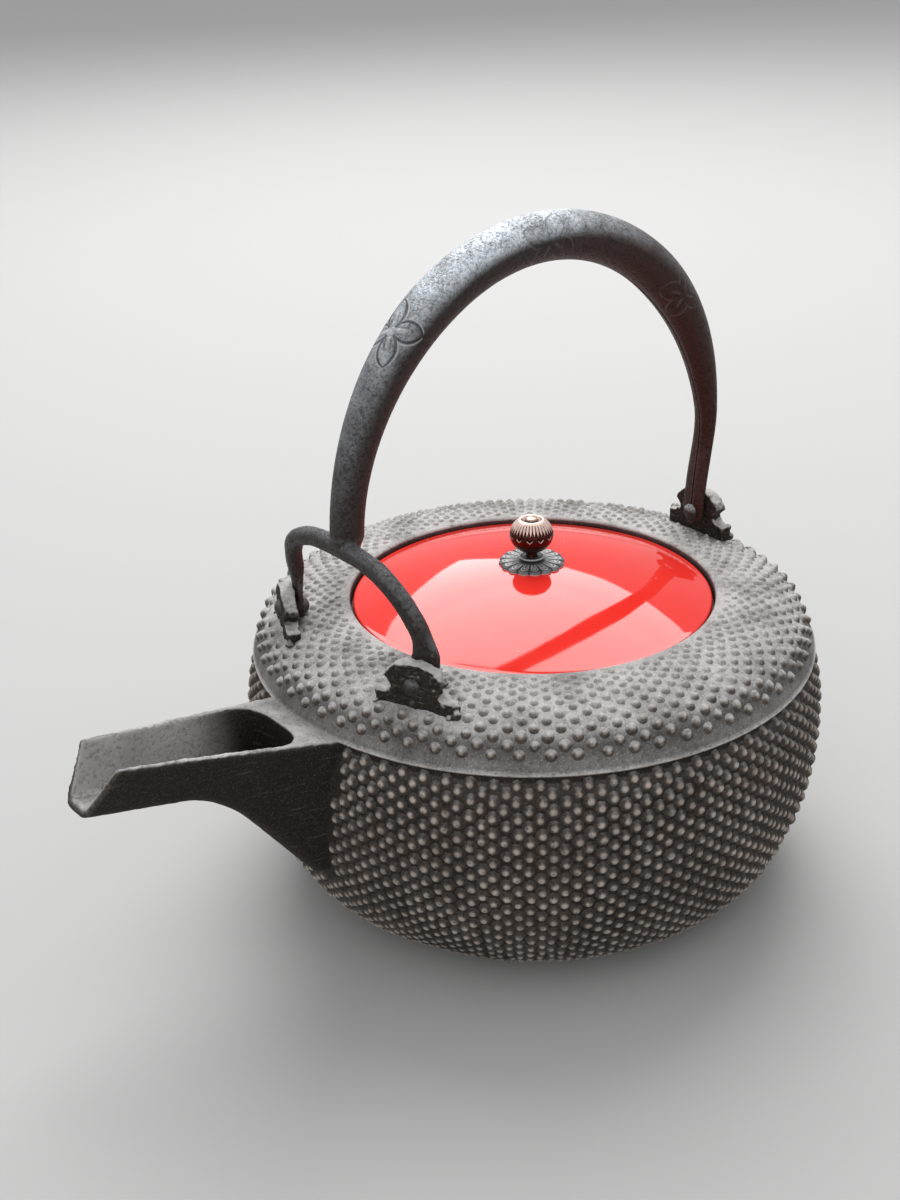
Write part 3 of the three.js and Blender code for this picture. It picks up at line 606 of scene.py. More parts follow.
slot_wide = spout_half_width(SLOT_END_X - SLOT_CORNER) - SPOUT_WALL
slot_end = spout_half_width(SLOT_END_X) - SPOUT_WALL
arch = [(SLOT_END_X - SLOT_CORNER * (1 - t) ** 2, slot_wide + (slot_end - slot_wide) * 2 * t * (1 - t)
         + (slot_end * 0.25 - slot_wide) * t * t) for t in np.linspace(0, 1, 9)]
slot = block("slot", [(SLOT_FAR_X, slot_wide), (SLOT_FAR_X, -slot_wide),
                      *[(x, -y) for x, y in arch], *reversed(arch)], SLOT_LOW, CUT_HIGH)
carve(channel, [slot], "INTERSECT")
slant = (SPOUT_TIP_X - SPOUT_LIP_X) / (SPOUT_TIP_Z - SPOUT_LIP_Z)
beyond = block("beyond", rectangle(FAR_X, SPOUT_LIP_X, CUT_HALF), CUT_LOW, CUT_HIGH)
for vertex in beyond.data.vertices:
    vertex.co.x += slant * (vertex.co.z - SPOUT_LIP_Z * MM)
print("the mouth of the spout leans by", round(math.degrees(math.atan(slant)), 1), "degrees")

# %% [markdown]
# Spout and wall were poured together, so a soft fillet joins them. To get it, the spout is fused
# with a shallow patch of the wall by a voxel remesh, and then smoothed. The patch lies a hair
# below the shell's own skin, so only the fillet comes out of it.


# %% Fused spout
def fuse(piece, voxel, smoothing):
    """Fuses overlapping parts into one skin and rounds its edges, as sand and filing do."""
    remesh = piece.modifiers.new("fuse", "REMESH")
    remesh.mode, remesh.voxel_size = "VOXEL", voxel * MM
    smooth = piece.modifiers.new("file", "SMOOTH")
    smooth.factor, smooth.iterations = 0.5, smoothing
    return settle(piece)


def roughen(piece, *waves):
    """Pushes corners along their normals, by waves of (depth, size, seed): a casting is uneven."""
    for depth, size, seed in waves:
        normals, places = (np.zeros((len(piece.data.vertices), 3)) for _ in range(2))
        piece.data.vertices.foreach_get("normal", normals.ravel())
        piece.data.vertices.foreach_get("co", places.ravel())
        shift = Vector((seed * 7.3, seed * 3.1, seed * 5.7))
        lift = np.array([noise.noise(Vector(place) / (size * MM) + shift) for place in places])
        piece.data.vertices.foreach_set("co", (places + normals * (lift * depth * MM)[:, None]).ravel())
        piece.data.update()


def join(name, *pieces):
    """One object that holds the meshes of several."""
    for piece in pieces[1:]:
        piece.data.materials.clear()
    with bpy.context.temp_override(active_object=pieces[0], selected_editable_objects=list(pieces)):
        bpy.ops.object.join()
    pieces[0].name = pieces[0].data.name = name
    return pieces[0]


PATCH_DEPTH, PATCH_THICK, PATCH_SPAN = 0.35, 2, (20, 70)
patch_line = [[r - PATCH_DEPTH, z] for r, z in skin if PATCH_SPAN[0] < z < PATCH_SPAN[1]]
patch_back = [[r - PATCH_THICK, z] for r, z in reversed(patch_line)]
patch = revolve("patch", [*patch_line, *patch_back, patch_line[0]], 216)
near_spout = block("near_spout", rectangle(-100, -60, 20), 21, 69.6)
carve(patch, [near_spout], "INTERSECT")
spout_trough = join("spout_trough", trough, patch)
carve(fuse(spout_trough, 0.8, 0), [under_bridge, channel, beyond])
fuse(spout_trough, 0.55, 6)
roughen(spout_trough, (0.12, 6, 1), (0.07, 1.6, 2))
carve(kettle_shell, [under_bridge])
discard(under_bridge, channel, beyond, slot, near_spout)
print("spout triangles:", triangles(spout_trough), "shell:", triangles(kettle_shell))

# %% [markdown]
# The channel has its own pale film, left by water and by wiping. A value says where: the walls of
# the channel face the middle plane, while the outside of the spout faces away from it, and the film
# starts some way out from the kettle.

# %% Channel film and the body's finishes
CHANNEL_FROM_X, CHANNEL_TO_X = -89, -110


def smoothstep(value, low, high):
    t = np.clip((value - low) / (high - low), 0, 1)
    return t * t * (3 - 2 * t)


inside = []
for vertex in spout_trough.data.vertices:
    towards_middle = -vertex.normal.y * math.copysign(1, vertex.co.y)
    along_spout = smoothstep(vertex.co.x / MM, CHANNEL_FROM_X, CHANNEL_TO_X)
    inside.append(float(along_spout * smoothstep(towards_middle, 0.1, 0.5)))
store(spout_trough, "inside", inside)
dress(spout_trough, spout_iron, 60)
dress(kettle_shell, shoulder_iron, 50)
print("corners under the channel's film:", sum(value > 0 for value in inside))

# %% [markdown]
# The lug plates carry the bail. Each is a flat plate with a domed cap over a narrow neck, cast onto
# the shoulder, and has a rivet through it. A plate is drawn in outline, given small lumps where
# the mould was carved, cut to the shoulder and fused. Its skin is rougher than that of the body,
# and its finish shows stronger layers.

# %% Lug plates
LUGS = {
    "front_left": ((-65.38, -30.63, 88.19), math.radians(-155.5)),
    "front_right": ((-65.38, 30.63, 88.19), math.radians(155.5)),
    "rear": ((69.8, 0.0, 91.41), 0.0),
}
LUG_THICKNESS, EAR_THICKNESS, GAP = 3.8, 2.4, 0.3
EAR_DEPTH = LUG_THICKNESS + GAP + EAR_THICKNESS / 2
CORE_DEPTH = 0.8
# Each lump: place along the plate, up it and out of it, and radius.
LUMPS = ((11.4, -3.6, -1.4, 1.6), (12.2, -5.4, -0.4, 1.3), (10.6, -7, 0.1, 1.2), (8.2, -2.8, -3, 1.1),
         (-10.6, -3.4, -1.2, 1.2), (-10.8, -6.4, -0.2, 1.1), (3, -8.3, 0.2, 1), (-4, -8, 0.1, 0.9))


def bezier(points, count):
    t = np.linspace(0, 1, count)[:, None]
    points = [np.array(point, float) for point in points]
    while len(points) > 1:
        points = [(1 - t) * a + t * b for a, b in zip(points, points[1:])]
    return points[0]


def lug_matrix(name):
    """X runs along the plate, Y up it, Z out of its outer face."""
    (x, y, z), facing = LUGS[name]
    out = Vector((math.cos(facing), math.sin(facing), 0))
    along = Vector((0, 0, 1)).cross(out)
    turn = Matrix((along, Vector((0, 0, 1)), out)).transposed().to_4x4()
    return Matrix.Translation(Vector((x, y, z)) * MM) @ turn


def lump(x, y, z, size):
    bpy.ops.mesh.primitive_ico_sphere_add(subdivisions=2, radius=size * MM)
    bpy.context.object.data.transform(Matrix.Translation(Vector((x, y, z)) * MM))
    return bpy.context.object


right_half = np.concatenate([
    [[0, -12], [11.6, -12]], bezier([[11.6, -2.9], [7, -2.8], [6.9, -1]], 8),
    bezier([[6.9, -1], [6.9, 0.2], [9.2, 1.5]], 6)[1:],
    bezier([[9.2, 1.5], [6.2, 6.4], [3.4, 6.3], [0, 6.3]], 12)[1:]])
lug_outline = [*right_half, *(right_half[::-1][1:-1] * (-0.94, 1))]
core_line = [[r - CORE_DEPTH, z - CORE_DEPTH] for r, z in skin]
shoulder_core = revolve("shoulder_core", [[0, 1], *core_line, [0, RIM_HEIGHT - CORE_DEPTH]], 120)
lug_pieces = []
for number, name in enumerate(LUGS):
    plate = block(f"lug_{name}", lug_outline, -LUG_THICKNESS, 0)
    lug = join(f"lug_{name}", plate, *[lump(*place_and_size) for place_and_size in LUMPS])
    lug.data.transform(lug_matrix(name))
    carve(fuse(lug, 0.4, 0), [shoulder_core])
    fuse(lug, 0.28, 4)
    roughen(lug, (0.5, 3, number + 3), (0.22, 1.1, number + 6))
    dress(lug, lug_iron, 60)
    lug_pieces.append(lug)
discard(shoulder_core)
print("lug triangles:", [triangles(lug) for lug in lug_pieces])

# %% [markdown]
# The hailstones. Each row is a ring of bumps, and the rows stand half a pitch apart, as they do
# when a founder pricks a mould by hand. A guide mesh holds one point for each row, with its count,
# its lean and its size, and with the angle that the spout covers at that height.


# %% Row guides
def measure_line(line):
    """Arc length from the foot, and the outward lean, along the skin."""
    steps = np.diff(line, axis=0)
    length = np.concatenate([[0], np.cumsum(np.hypot(*steps.T))])
    run = np.gradient(line, axis=0)
    return length, np.arctan2(-run[:, 0], run[:, 1])


FILLET_ROOM, SPOUT_SPAN = 1.8, (23.5, 72.5)
fine_skin = np.concatenate([outside_line(4), [[r, RIM_HEIGHT] for r in (55.4, 54.8, 54.2, 53.6, 53.3)]])
skin_length, skin_lean = measure_line(fine_skin)


def spout_half_angle(radius, height):
    """Half the angle that the spout covers at this height, with room for its fillet."""
    if not SPOUT_SPAN[0] < height < SPOUT_SPAN[1]:
        return 0.0
    half = between(height, SPOUT_HEEL[1], RIDGE_HEIGHT, FLOOR_ROOT_HALF, ROOT_HALF) + FILLET_ROOM
    return math.asin(min(half / radius, 1))


def row_guide(name, first, last, spacing, count, bump_radius, shrink):
    """One point for each row, from one arc length to another. Rows close up as the ring shrinks."""
    rows, at = [], first
    while min(first, last) <= at <= max(first, last):
        radius, height = (np.interp(at, skin_length, fine_skin[:, axis]) for axis in (0, 1))
        rows.append((radius, height, np.interp(at, skin_length, skin_lean)))
        at += math.copysign(spacing * radius / RIDGE_RADIUS, last - first)
    guide = make_object(name, [(r * MM, 0, z * MM) for r, z, _ in rows])
    store(guide, "count", [count] * len(rows), "INT")
    store(guide, "stagger", [0.5 * (i % 2) for i in range(len(rows))])
    store(guide, "lean", [lean for _, _, lean in rows])
    store(guide, "size", [(bump_radius - shrink * (RIDGE_RADIUS - r)) * MM for r, _, _ in rows])
    store(guide, "spout_angle", [spout_half_angle(r, z) for r, z, _ in rows])
    print(name, "rows:", len(rows), "bumps:", count * len(rows))
    return guide


wall_rows = row_guide("wall_hail", first=79.4, last=4.0, spacing=2.18, count=84,
                      bump_radius=2.05, shrink=0.017)
shoulder_rows = row_guide("shoulder_hail", first=88.9, last=skin_length[-1] - 0.6, spacing=2.4, count=68,
                          bump_radius=1.78, shrink=0.028)

# %% [markdown]
# One bump is a small cone with a rounded point and a foot that sinks into the wall. Those of the
# wall are still sharp, and those of the shoulder are worn a little rounder by hands and cloths. A
# value runs from 0 at the foot to 1 at the tip, for the finish to rub.


# %% Two bumps
def hailstone(sides, rings):
    """One bump of radius and height 1, from rings of (radius, height), open underneath."""
    corners = [(r * math.cos(TURN * k / sides), r * math.sin(TURN * k / sides), z)
               for r, z in rings for k in range(sides)] + [(0, 0, 1)]
    top = (len(rings) - 1) * sides
    point = [(top + k, top + (k + 1) % sides, len(corners) - 1) for k in range(sides)]
    bump = make_object("hailstone", corners, bands(len(rings), sides) + point)
    store(bump, "tip", [max(corner[2], 0) for corner in corners])
    return bump


pointed = hailstone(8, [(1.0, -0.1), (0.76, 0.24), (0.54, 0.62), (0.28, 0.9)])
worn = hailstone(10, [(1.0, -0.12), (0.79, 0.23), (0.53, 0.61), (0.25, 0.91)])
print("triangles of one bump:", triangles(pointed), triangles(worn))

# %% [markdown]
# Geometry Nodes trees get three more helpers: one opens a tree with an input for each size, one
# stands instances along a direction, and one closes the tree, runs it on its carrier mesh and
# keeps the result as plain mesh. So each tree can be run again with other sizes.


# %% Geometry tree helpers
class Shaping(Wiring):
    """A writer for Geometry Nodes trees."""

    def __init__(self, name, sizes):
        tree = bpy.data.node_groups.new(name, "GeometryNodeTree")
        super().__init__(tree)
        tree.interface.new_socket("Geometry", in_out="INPUT", socket_type="NodeSocketGeometry")
        for size, kind in sizes.items():
            tree.interface.new_socket(size, in_out="INPUT", socket_type=kind)
        tree.interface.new_socket("Geometry", in_out="OUTPUT", socket_type="NodeSocketGeometry")
        self.given = self.add("NodeGroupInput").outputs

    def stored(self, label, kind="FLOAT"):
        return self.add("GeometryNodeInputNamedAttribute", {"Name": label}, data_type=kind).outputs[0]

    def keep(self, geometry, label, value, kind="FLOAT"):
        return self.add("GeometryNodeStoreNamedAttribute", {
            "Geometry": geometry, "Name": label, "Value": value}, data_type=kind).outputs[0]

    def place(self):
        return self.add("GeometryNodeInputPosition").outputs[0]

    def put(self, geometry, place):
        return self.add("GeometryNodeSetPosition", {"Geometry": geometry, "Position": place}).outputs[0]

    def shape(self, label):
        return self.add("GeometryNodeObjectInfo", {"Object": self.given[label]}).outputs["Geometry"]

    def about_z(self, vector, angle):
        return self.add("ShaderNodeVectorRotate", {"Vector": vector, "Angle": angle},
                        rotation_type="Z_AXIS").outputs[0]

    def chance(self, low, high, seed):
        return self.add("FunctionNodeRandomValue", {2: low, 3: high, 8: seed},
                        data_type="FLOAT").outputs[1]

    def stand(self, direction, spin):
        """The rotation that stands an instance along a direction, turned about it by an angle."""
        upright = self.add("FunctionNodeAlignRotationToVector", {"Vector": direction}, axis="Z").outputs[0]
        spin = self.add("FunctionNodeEulerToRotation", {0: self.xyz(Z=spin)}).outputs[0]
        return self.add("FunctionNodeRotateRotation", {0: upright, 1: spin},
                        rotation_space="LOCAL").outputs[0]

    def run(self, geometry, carrier, **sizes):
        """Sets the finish, closes the tree, runs it on its carrier and keeps the plain mesh."""
        geometry = self.add("GeometryNodeRealizeInstances", {0: geometry}).outputs[0]
        geometry = self.add("GeometryNodeSetMaterial", {
            0: geometry, "Material": self.given["Finish"]}).outputs[0]
        self.add("NodeGroupOutput", {"Geometry": geometry})
        modifier = carrier.modifiers.new(self.tree.name, "NODES")
        modifier.node_group = self.tree
        for item in self.tree.interface.items_tree:
            name = item.name.lower().replace(" ", "_")
            if item.in_out == "INPUT" and name in sizes:
                modifier[item.identifier] = sizes[name]
        return settle(carrier)


print("steps of a geometry tree:", [name for name in vars(Shaping) if not name.startswith("_")])

# %% [markdown]
# The tree turns each point of a guide into a ring of points, drops those that the spout and the
# lugs cover, and sets a bump square to the wall at every place that is left. No two bumps are quite
# alike: each is turned, widened and raised by chance, and whole patches are worn lower.

# %% Rows of bumps
LUG_ROOM = 1.4


def set_bumps(guide, **sizes):
    tree = Shaping("hail rows", {
        "Bump": "NodeSocketObject", "Keep clear of": "NodeSocketObject", "Clearance": "NodeSocketFloat",
        "Height": "NodeSocketFloat", "Unevenness": "NodeSocketFloat", "Seed": "NodeSocketInt",
        "Finish": "NodeSocketMaterial"})
    given = tree.given

    def chance(low, high, step):
        return tree.chance(low, high, tree.maths("ADD", given["Seed"], step))

    ring = tree.add("GeometryNodeDuplicateElements", {
        "Geometry": given["Geometry"], "Amount": tree.stored("count", "INT")}, domain="POINT").outputs
    share = tree.maths("DIVIDE", tree.maths("ADD", ring["Duplicate Index"], tree.stored("stagger")),
                       tree.stored("count", "INT"))
    angle = tree.scaled(share, TURN, chance(-0.005, 0.005, 1))
    points = tree.keep(ring["Geometry"], "angle", angle)
    points = tree.put(points, tree.about_z(tree.place(), angle))

    from_spout = tree.apart(tree.stored("angle"), math.pi)
    under_spout = tree.maths("LESS_THAN", from_spout, tree.stored("spout_angle"))
    nearest = tree.add("GeometryNodeProximity", {0: tree.shape("Keep clear of")}, target_element="FACES")
    under_lug = tree.maths("LESS_THAN", nearest.outputs["Distance"], given["Clearance"])
    points = tree.add("GeometryNodeDeleteGeometry", {
        "Geometry": points, "Selection": tree.maths("MAXIMUM", under_spout, under_lug)}).outputs[0]

    lean = tree.stored("lean")
    leaning = tree.xyz(X=tree.maths("COSINE", lean), Z=tree.maths("SINE", lean))
    stand = tree.stand(tree.about_z(leaning, tree.stored("angle")), chance(0.0, TURN, 2))
    least, most = tree.minus(1.0, given["Unevenness"]), tree.maths("ADD", 1.0, given["Unevenness"])
    width = tree.times(tree.stored("size"), chance(least, most, 3))
    patches = tree.add("ShaderNodeTexNoise", {"Scale": 45.0, "Detail": 2.0}).outputs[0]
    tall = tree.times(tree.stored("size"), given["Height"], chance(least, most, 4),
                      tree.spread(patches, 0.3, 0.45, 0.55, 1.0))
    stones = tree.add("GeometryNodeInstanceOnPoints", {
        "Points": points, "Instance": tree.shape("Bump"), "Rotation": stand,
        "Scale": tree.xyz(X=width, Y=width, Z=tall)}).outputs[0]
    stones = tree.add("GeometryNodeSetShadeSmooth", {0: stones}).outputs[0]
    return tree.run(stones, guide, **sizes)


def copy_of(name, *pieces):
    """A joined copy of some pieces, for a tree to keep clear of."""
    copies = []
    for piece in pieces:
        twin = piece.copy()
        twin.data = piece.data.copy()
        bpy.context.scene.collection.objects.link(twin)
        copies.append(twin)
    return join(name, *copies)


lug_shadow = copy_of("lug_shadow", *lug_pieces)
wall_hail = set_bumps(wall_rows, bump=pointed, keep_clear_of=lug_shadow, clearance=LUG_ROOM * MM,
                      height=0.68, unevenness=0.09, seed=11, finish=wall_iron)
shoulder_hail = set_bumps(shoulder_rows, bump=worn, keep_clear_of=lug_shadow, clearance=LUG_ROOM * MM,
                          height=0.74, unevenness=0.1, seed=23, finish=shoulder_iron)
discard(pointed, worn, lug_shadow)
print("hail triangles:", triangles(wall_hail), triangles(shoulder_hail))

# %% [markdown]
# The bail. Its tube was wrapped from sheet over a mandrel, so its section is a C whose seam faces
# the inside of the bow. The bow is thickest at the grip and tapers to both ends. At the rear it
# bends down, and the tube is squeezed flat to fit behind its lug, with a round end like an ear.

# %% Bail path
BOW_CENTRE, BOW_HALF, BOW_SPRING, BOW_RISE, BOW_FOOT = 3.12, 65.38, 115.7, 69.8, 118.7
BOW_FRONT_X, BOW_FRONT, BOW_GRIP, BOW_REAR = -62.26, 9.0, 13.2, 6.4
BOW_ARC_END, REAR_STIFFNESS = 0.96 * math.pi, 4
SWELL, TAPER, SQUEEZE = (0, 0.3), (0.62, 0.9), (0.78, 0.96)  # from and to, as shares of the length
EAR_RADIUS, SHEET, SEAM = 4.1, 1.6, 0.9


def ear_centre(name):
    return lug_matrix(name) @ Vector((0, 0, -EAR_DEPTH * MM)) / MM


def bow_path(count):
    """Most of half an ellipse from the fork over the grip, a drop in a soft bend, and the ear's end."""
    ear = ear_centre("rear")
    t = np.linspace(math.asin((BOW_FOOT - BOW_SPRING) / BOW_RISE), BOW_ARC_END, count)
    arc = np.stack([BOW_CENTRE - BOW_HALF * np.cos(t), BOW_SPRING + BOW_RISE * np.sin(t)], 1)
    bend = arc[-1] + (arc[-1] - arc[-2]) * REAR_STIFFNESS
    over_ear = (ear.x + 0.6, 0.6 * bend[1] + 0.4 * ear.z)
    drop = bezier([arc[-1], bend, over_ear, (ear.x, ear.z)], count // 3)[1:]
    round_end = [(ear.x, ear.z - EAR_RADIUS * math.sin(a)) for a in np.linspace(0.1, 1.5, 12)]
    return np.concatenate([arc, drop, round_end])


path = bow_path(90)
share = np.concatenate([[0], np.cumsum(np.hypot(*np.diff(path, axis=0).T))])
bow_length, share = share[-1], share / share[-1]
swell = BOW_FRONT + (BOW_GRIP - BOW_FRONT) * smoothstep(share, *SWELL)
radii = (swell + (BOW_REAR - swell) * smoothstep(share, *TAPER)) / 2
squeezed = smoothstep(share, *SQUEEZE)
below = np.clip(ear_centre("rear").z - path[:, 1], 0, EAR_RADIUS * 0.998)
rounding = np.sqrt(1 - (below / EAR_RADIUS) ** 2)
thin = 1 + (EAR_THICKNESS / BOW_REAR - 1) * squeezed
wide = (1 + (2 * EAR_RADIUS / BOW_REAR - 1) * squeezed) * rounding
print("bow length", round(bow_length, 1), "mm, thickest", round(2 * radii.max(), 1), "mm")

# %% [markdown]
# Four flowers are engraved on the bail, each of four pointed petals with a raised rim and a vein.
# They are drawn by a node group from two distances, along the tube and around it, because lines
# as fine as these would need a far denser mesh. One stands out in the photograph and two show
# faintly. The one on the far side is a guess.


# %% Engraved flower
def engraved_flower():
    """Dark lines and raised ridges of one flower, from its two distances in metres."""
    paint, given = effect("engraved flower", {
        "Along": 0.0, "Across": 0.0, "Size": 0.0085, "Turn": 0.0}, ["Line", "Ridge"])
    spot = paint.xyz(X=given["Along"], Y=given["Across"])
    reach = paint.add("ShaderNodeVectorMath", {0: spot}, operation="LENGTH").outputs["Value"]
    reach = paint.maths("DIVIDE", reach, given["Size"])
    angle = paint.minus(paint.maths("ARCTAN2", given["Across"], given["Along"]), given["Turn"])
    angle = paint.maths("PINGPONG", paint.maths("ADD", angle, 2 * TURN), math.pi / 4)
    out = paint.times(reach, paint.maths("COSINE", angle))
    aside = paint.times(reach, paint.maths("SINE", angle))

    def within(start, full, last, end):
        return paint.times(paint.spread(out, start, full), paint.spread(out, end, last))

    middle = paint.scaled(out, 2.0, -1.1)
    swelling = paint.maths("MAXIMUM", paint.minus(1.0, paint.times(middle, middle)), 0.0)
    off = paint.minus(aside, paint.times(paint.maths("POWER", swelling, 0.8), 0.3))
    in_petal = within(0.1, 0.16, 1.04, 1.1)
    line = paint.spread(paint.maths("ABSOLUTE", off), 0.06, 0.02)
    rim = paint.spread(paint.apart(off, 0.085), 0.06, 0.02)
    vein = paint.times(paint.spread(aside, 0.075, 0.03), within(0.12, 0.2, 0.5, 0.6))
    beside = paint.times(paint.spread(paint.apart(aside, 0.11), 0.04, 0.015), within(0.16, 0.22, 0.52, 0.6))
    paint.add("NodeGroupOutput", {
        "Line": paint.times(paint.maths("MAXIMUM", line, paint.times(beside, 0.5)), in_petal),
        "Ridge": paint.maths("MAXIMUM", paint.times(rim, in_petal), vein)})
    return paint.tree


FLOWER = engraved_flower()
print("flower:", len(FLOWER.nodes), "nodes")

# %% [markdown]
# The bail's iron is dark and forged smooth. A pale blue painted sheen lies on what faces upwards and
# thins out towards the fork. The rear limb has rusted to a dark red, with a paler streak of painted
# sheen along its outer side. The fork and the rivets have less painted sheen, and no rust.

# %% Forged iron
FORGED, RUST, SHEEN_BLUE = (0.032, 0.025, 0.022), (0.03, 0.007, 0.004), (0.68, 0.73, 0.78)
BARE, HOLLOWS, STREAK_SHEEN = (0.3, 0.28, 0.27), (0.02, 0.014, 0.011), (0.13, 0.095, 0.075)
ENGRAVED_SHADE, RIDGE_HIGHLIGHT = (0.02, 0.016, 0.014), (0.5, 0.5, 0.5)
OUTER_SHARE = 0.547  # how much of the C section's length is its outer skin
AROUND = TURN * BOW_GRIP / 2 / OUTER_SHARE
# Each flower: millimetres along the tube, share of the way around it, size, turn and depth.
FLOWERS = ((52.75, 0.29, 8.5, 69, 1.0), (102, 0.41, 8.5, 30, 0.35), (158, 0.42, 8.0, 60, 0.35),
           (106, 0.14, 8.5, 50, 0.6))


def forged_iron(name, film, rust_from, flowers=()):
    """Dark iron under a painted sheen that can be thinner, rusted beyond a place along X, in metres."""
    material, paint, shader = finish_material(name, Metallic=0.25, Specular_IOR_Level=0.3)
    grain = paint.group(GRAIN, {"Size": 1100.0, "Pits": 0.9})
    rub = paint.group(RUB_AND_HIGHLIGHT, {"Edge": 0.5, "Tips": 0.0})["Rub"]
    painted_sheen = paint.group(DUST_AND_SHEEN, {
        "Amount": 1.4 * film, "Blotches": 160.0, "From lift": 0.0, "To lift": 0.6})["Dust"]
    place = paint.place()
    reach = paint.part(place, "X")
    clouds = paint.noise(place, 90.0, 5.0, 0.6)
    mottle = paint.noise(place, 1900.0, 3.0, 0.7)
    rust = paint.spread(paint.scaled(clouds, 0.03, reach), rust_from, rust_from + 0.05)
    # The painted sheen: pale blue on what faces upwards, thinner where rusted and towards the fork.
    cover = paint.times(painted_sheen, paint.scaled(rust, -0.85, 1.0), paint.spread(mottle, 0.32, 0.6, 0.6, 1.0),
                        paint.spread(reach, -0.064, -0.015, 0.3, 1.0))
    colour = paint.mix(cover, paint.mix(rust, FORGED, RUST), SHEEN_BLUE)
    colour = paint.mix(paint.times(rub, 0.5), colour, BARE)
    colour = paint.mix(paint.times(grain["Pit mask"], 0.3), colour, HOLLOWS)
    along, around = paint.stored("along"), paint.stored("around")
    # A paler streak along the outer side of the rusted limb: painted sheen.
    streak = paint.times(paint.spread(paint.apart(around, 0.25), 0.1, 0.03), rust,
                         paint.spread(clouds, 0.4, 0.7, 0.2, 0.8))
    colour = paint.mix(streak, colour, STREAK_SHEEN)
    height = grain["Height"]
    for at, side, size, turn, depth in flowers:
        flower = paint.group(FLOWER, {
            "Along": paint.minus(along, at * MM),
            "Across": paint.times(paint.minus(around, side), AROUND * MM),
            "Size": size * MM, "Turn": math.radians(turn)})
        # Painted shade in the engraved lines and a painted highlight on the raised rim and vein.
        colour = paint.mix(paint.times(flower["Line"], 0.7 * depth), colour, ENGRAVED_SHADE)
        colour = paint.mix(paint.times(flower["Ridge"], 0.6 * depth * depth), colour, RIDGE_HIGHLIGHT)
        relief = paint.minus(flower["Ridge"], paint.times(flower["Line"], 1.4))
        height = paint.scaled(relief, depth, height)
    paint.wire(shader, Base_Color=colour, Normal=paint.bump(height, 0.8, 0.45),
               Roughness=paint.spread(grain["Pit mask"], 0.0, 1.0, 0.42, 0.72))
    return material


NO_RUST = 0.2
# Here film is the amount of painted sheen.
bail_iron = forged_iron("bail iron", film=1.0, rust_from=0.01, flowers=FLOWERS)
fork_iron = forged_iron("fork iron", film=0.4, rust_from=NO_RUST)
rivet_iron = forged_iron("rivet iron", film=0.4, rust_from=NO_RUST)
print("flowers on the bail:", len(FLOWERS), "on a section of", round(AROUND, 1), "mm")

# %% [markdown]
# The Curve to Mesh node sweeps the C section along the path, with the tube's radius at each point.
# The path's own values travel with it onto the skin. So the last step can squeeze the rear end: it
# moves each corner towards the path along X and away from it along Y.


# %% Bail tube
def tube_section(radius, steps):
    """A C-shaped section of radius 1 whose opening looks along +Y."""
    inner = 1 - SHEET / radius
    outer_gap, inner_gap = SEAM / 2 / radius, SEAM / 2 / radius / inner
    out = np.linspace(outer_gap, TURN - outer_gap, steps) + math.pi / 2
    back = np.linspace(TURN - inner_gap, inner_gap, steps // 2) + math.pi / 2
    return [(math.cos(a), math.sin(a), 0) for a in out] + [
        (inner * math.cos(a), inner * math.sin(a), 0) for a in back]


def line_object(name, points, closed=False):
    edges = [(i, i + 1) for i in range(len(points) - 1)] + ([(len(points) - 1, 0)] if closed else [])
    return make_object(name, points, edges=edges)


def wrap_tube(line, **sizes):
    tree = Shaping("wrapped tube", {
        "Section": "NodeSocketObject", "Step": "NodeSocketFloat", "Finish": "NodeSocketMaterial"})
    path = tree.add("GeometryNodeMeshToCurve", {0: tree.given["Geometry"]}).outputs[0]
    path = tree.add("GeometryNodeResampleCurve", {0: path, "Length": tree.given["Step"]},
                    mode="LENGTH").outputs[0]
    on_spline = tree.add("GeometryNodeSplineParameter").outputs
    place = tree.place()
    path = tree.keep(path, "along", on_spline["Length"])
    path = tree.keep(path, "centre", place, "FLOAT_VECTOR")
    path = tree.add("GeometryNodeSetCurveNormal", {0: path, "Normal": (0, -1, 0)}, mode="FREE").outputs[0]
    ring = tree.add("GeometryNodeMeshToCurve", {0: tree.shape("Section")}).outputs[0]
    ring = tree.keep(ring, "around", on_spline["Factor"])
    tube = tree.add("GeometryNodeCurveToMesh", {
        "Curve": path, "Profile Curve": ring, "Scale": tree.stored("thickness"),
        "Fill Caps": True}).outputs[0]
    centre = tree.stored("centre", "FLOAT_VECTOR")
    squeeze = tree.xyz(X=tree.stored("thin"), Y=tree.stored("wide"), Z=1.0)
    aside = tree.vector("SUBTRACT", place, centre)
    tube = tree.put(tube, tree.vector("MULTIPLY_ADD", aside, squeeze, centre))
    tube = tree.add("GeometryNodeSetShadeSmooth", {0: tube}).outputs[0]
    return tree.run(tube, line, **sizes)


bail_tube = line_object("bail_tube", [(x * MM, 0, z * MM) for x, z in path])
for label, values in (("thickness", radii * MM), ("thin", thin), ("wide", wide)):
    store(bail_tube, label, values)
c_section = line_object("c_section", tube_section(BOW_GRIP / 2, 48), closed=True)
wrap_tube(bail_tube, section=c_section, step=1.0 * MM, finish=bail_iron)
discard(c_section)
soften(bail_tube, 50)
print("tube triangles:", triangles(bail_tube))

# %% [markdown]
# The fork was forged from one bar: a crown under the bow, two legs that spread from it, and a flat
# ear at the foot of each. It is built from plain solids that are then fused, the way the smith
# drew it out of one piece.
#
# A leg is a row of boxy rings along a line: out from the crown, round a full corner, and down
# behind the lug plate. On the way down the rings turn to face the plate, and get wide and thin.

# %% Legs of the fork
LEG, LEG_FOOT, FRONT_EAR = 5.0, 4.2, 3.3
FORK_TOP, SPREAD, OVER_PLATE = 115.7, 1.5, 6.3
HALF_DEEP, BOXY, FLARE, EAR_FROM = LEG / 2 * 0.94, 2.6, (0.72, 0.9), 0.9


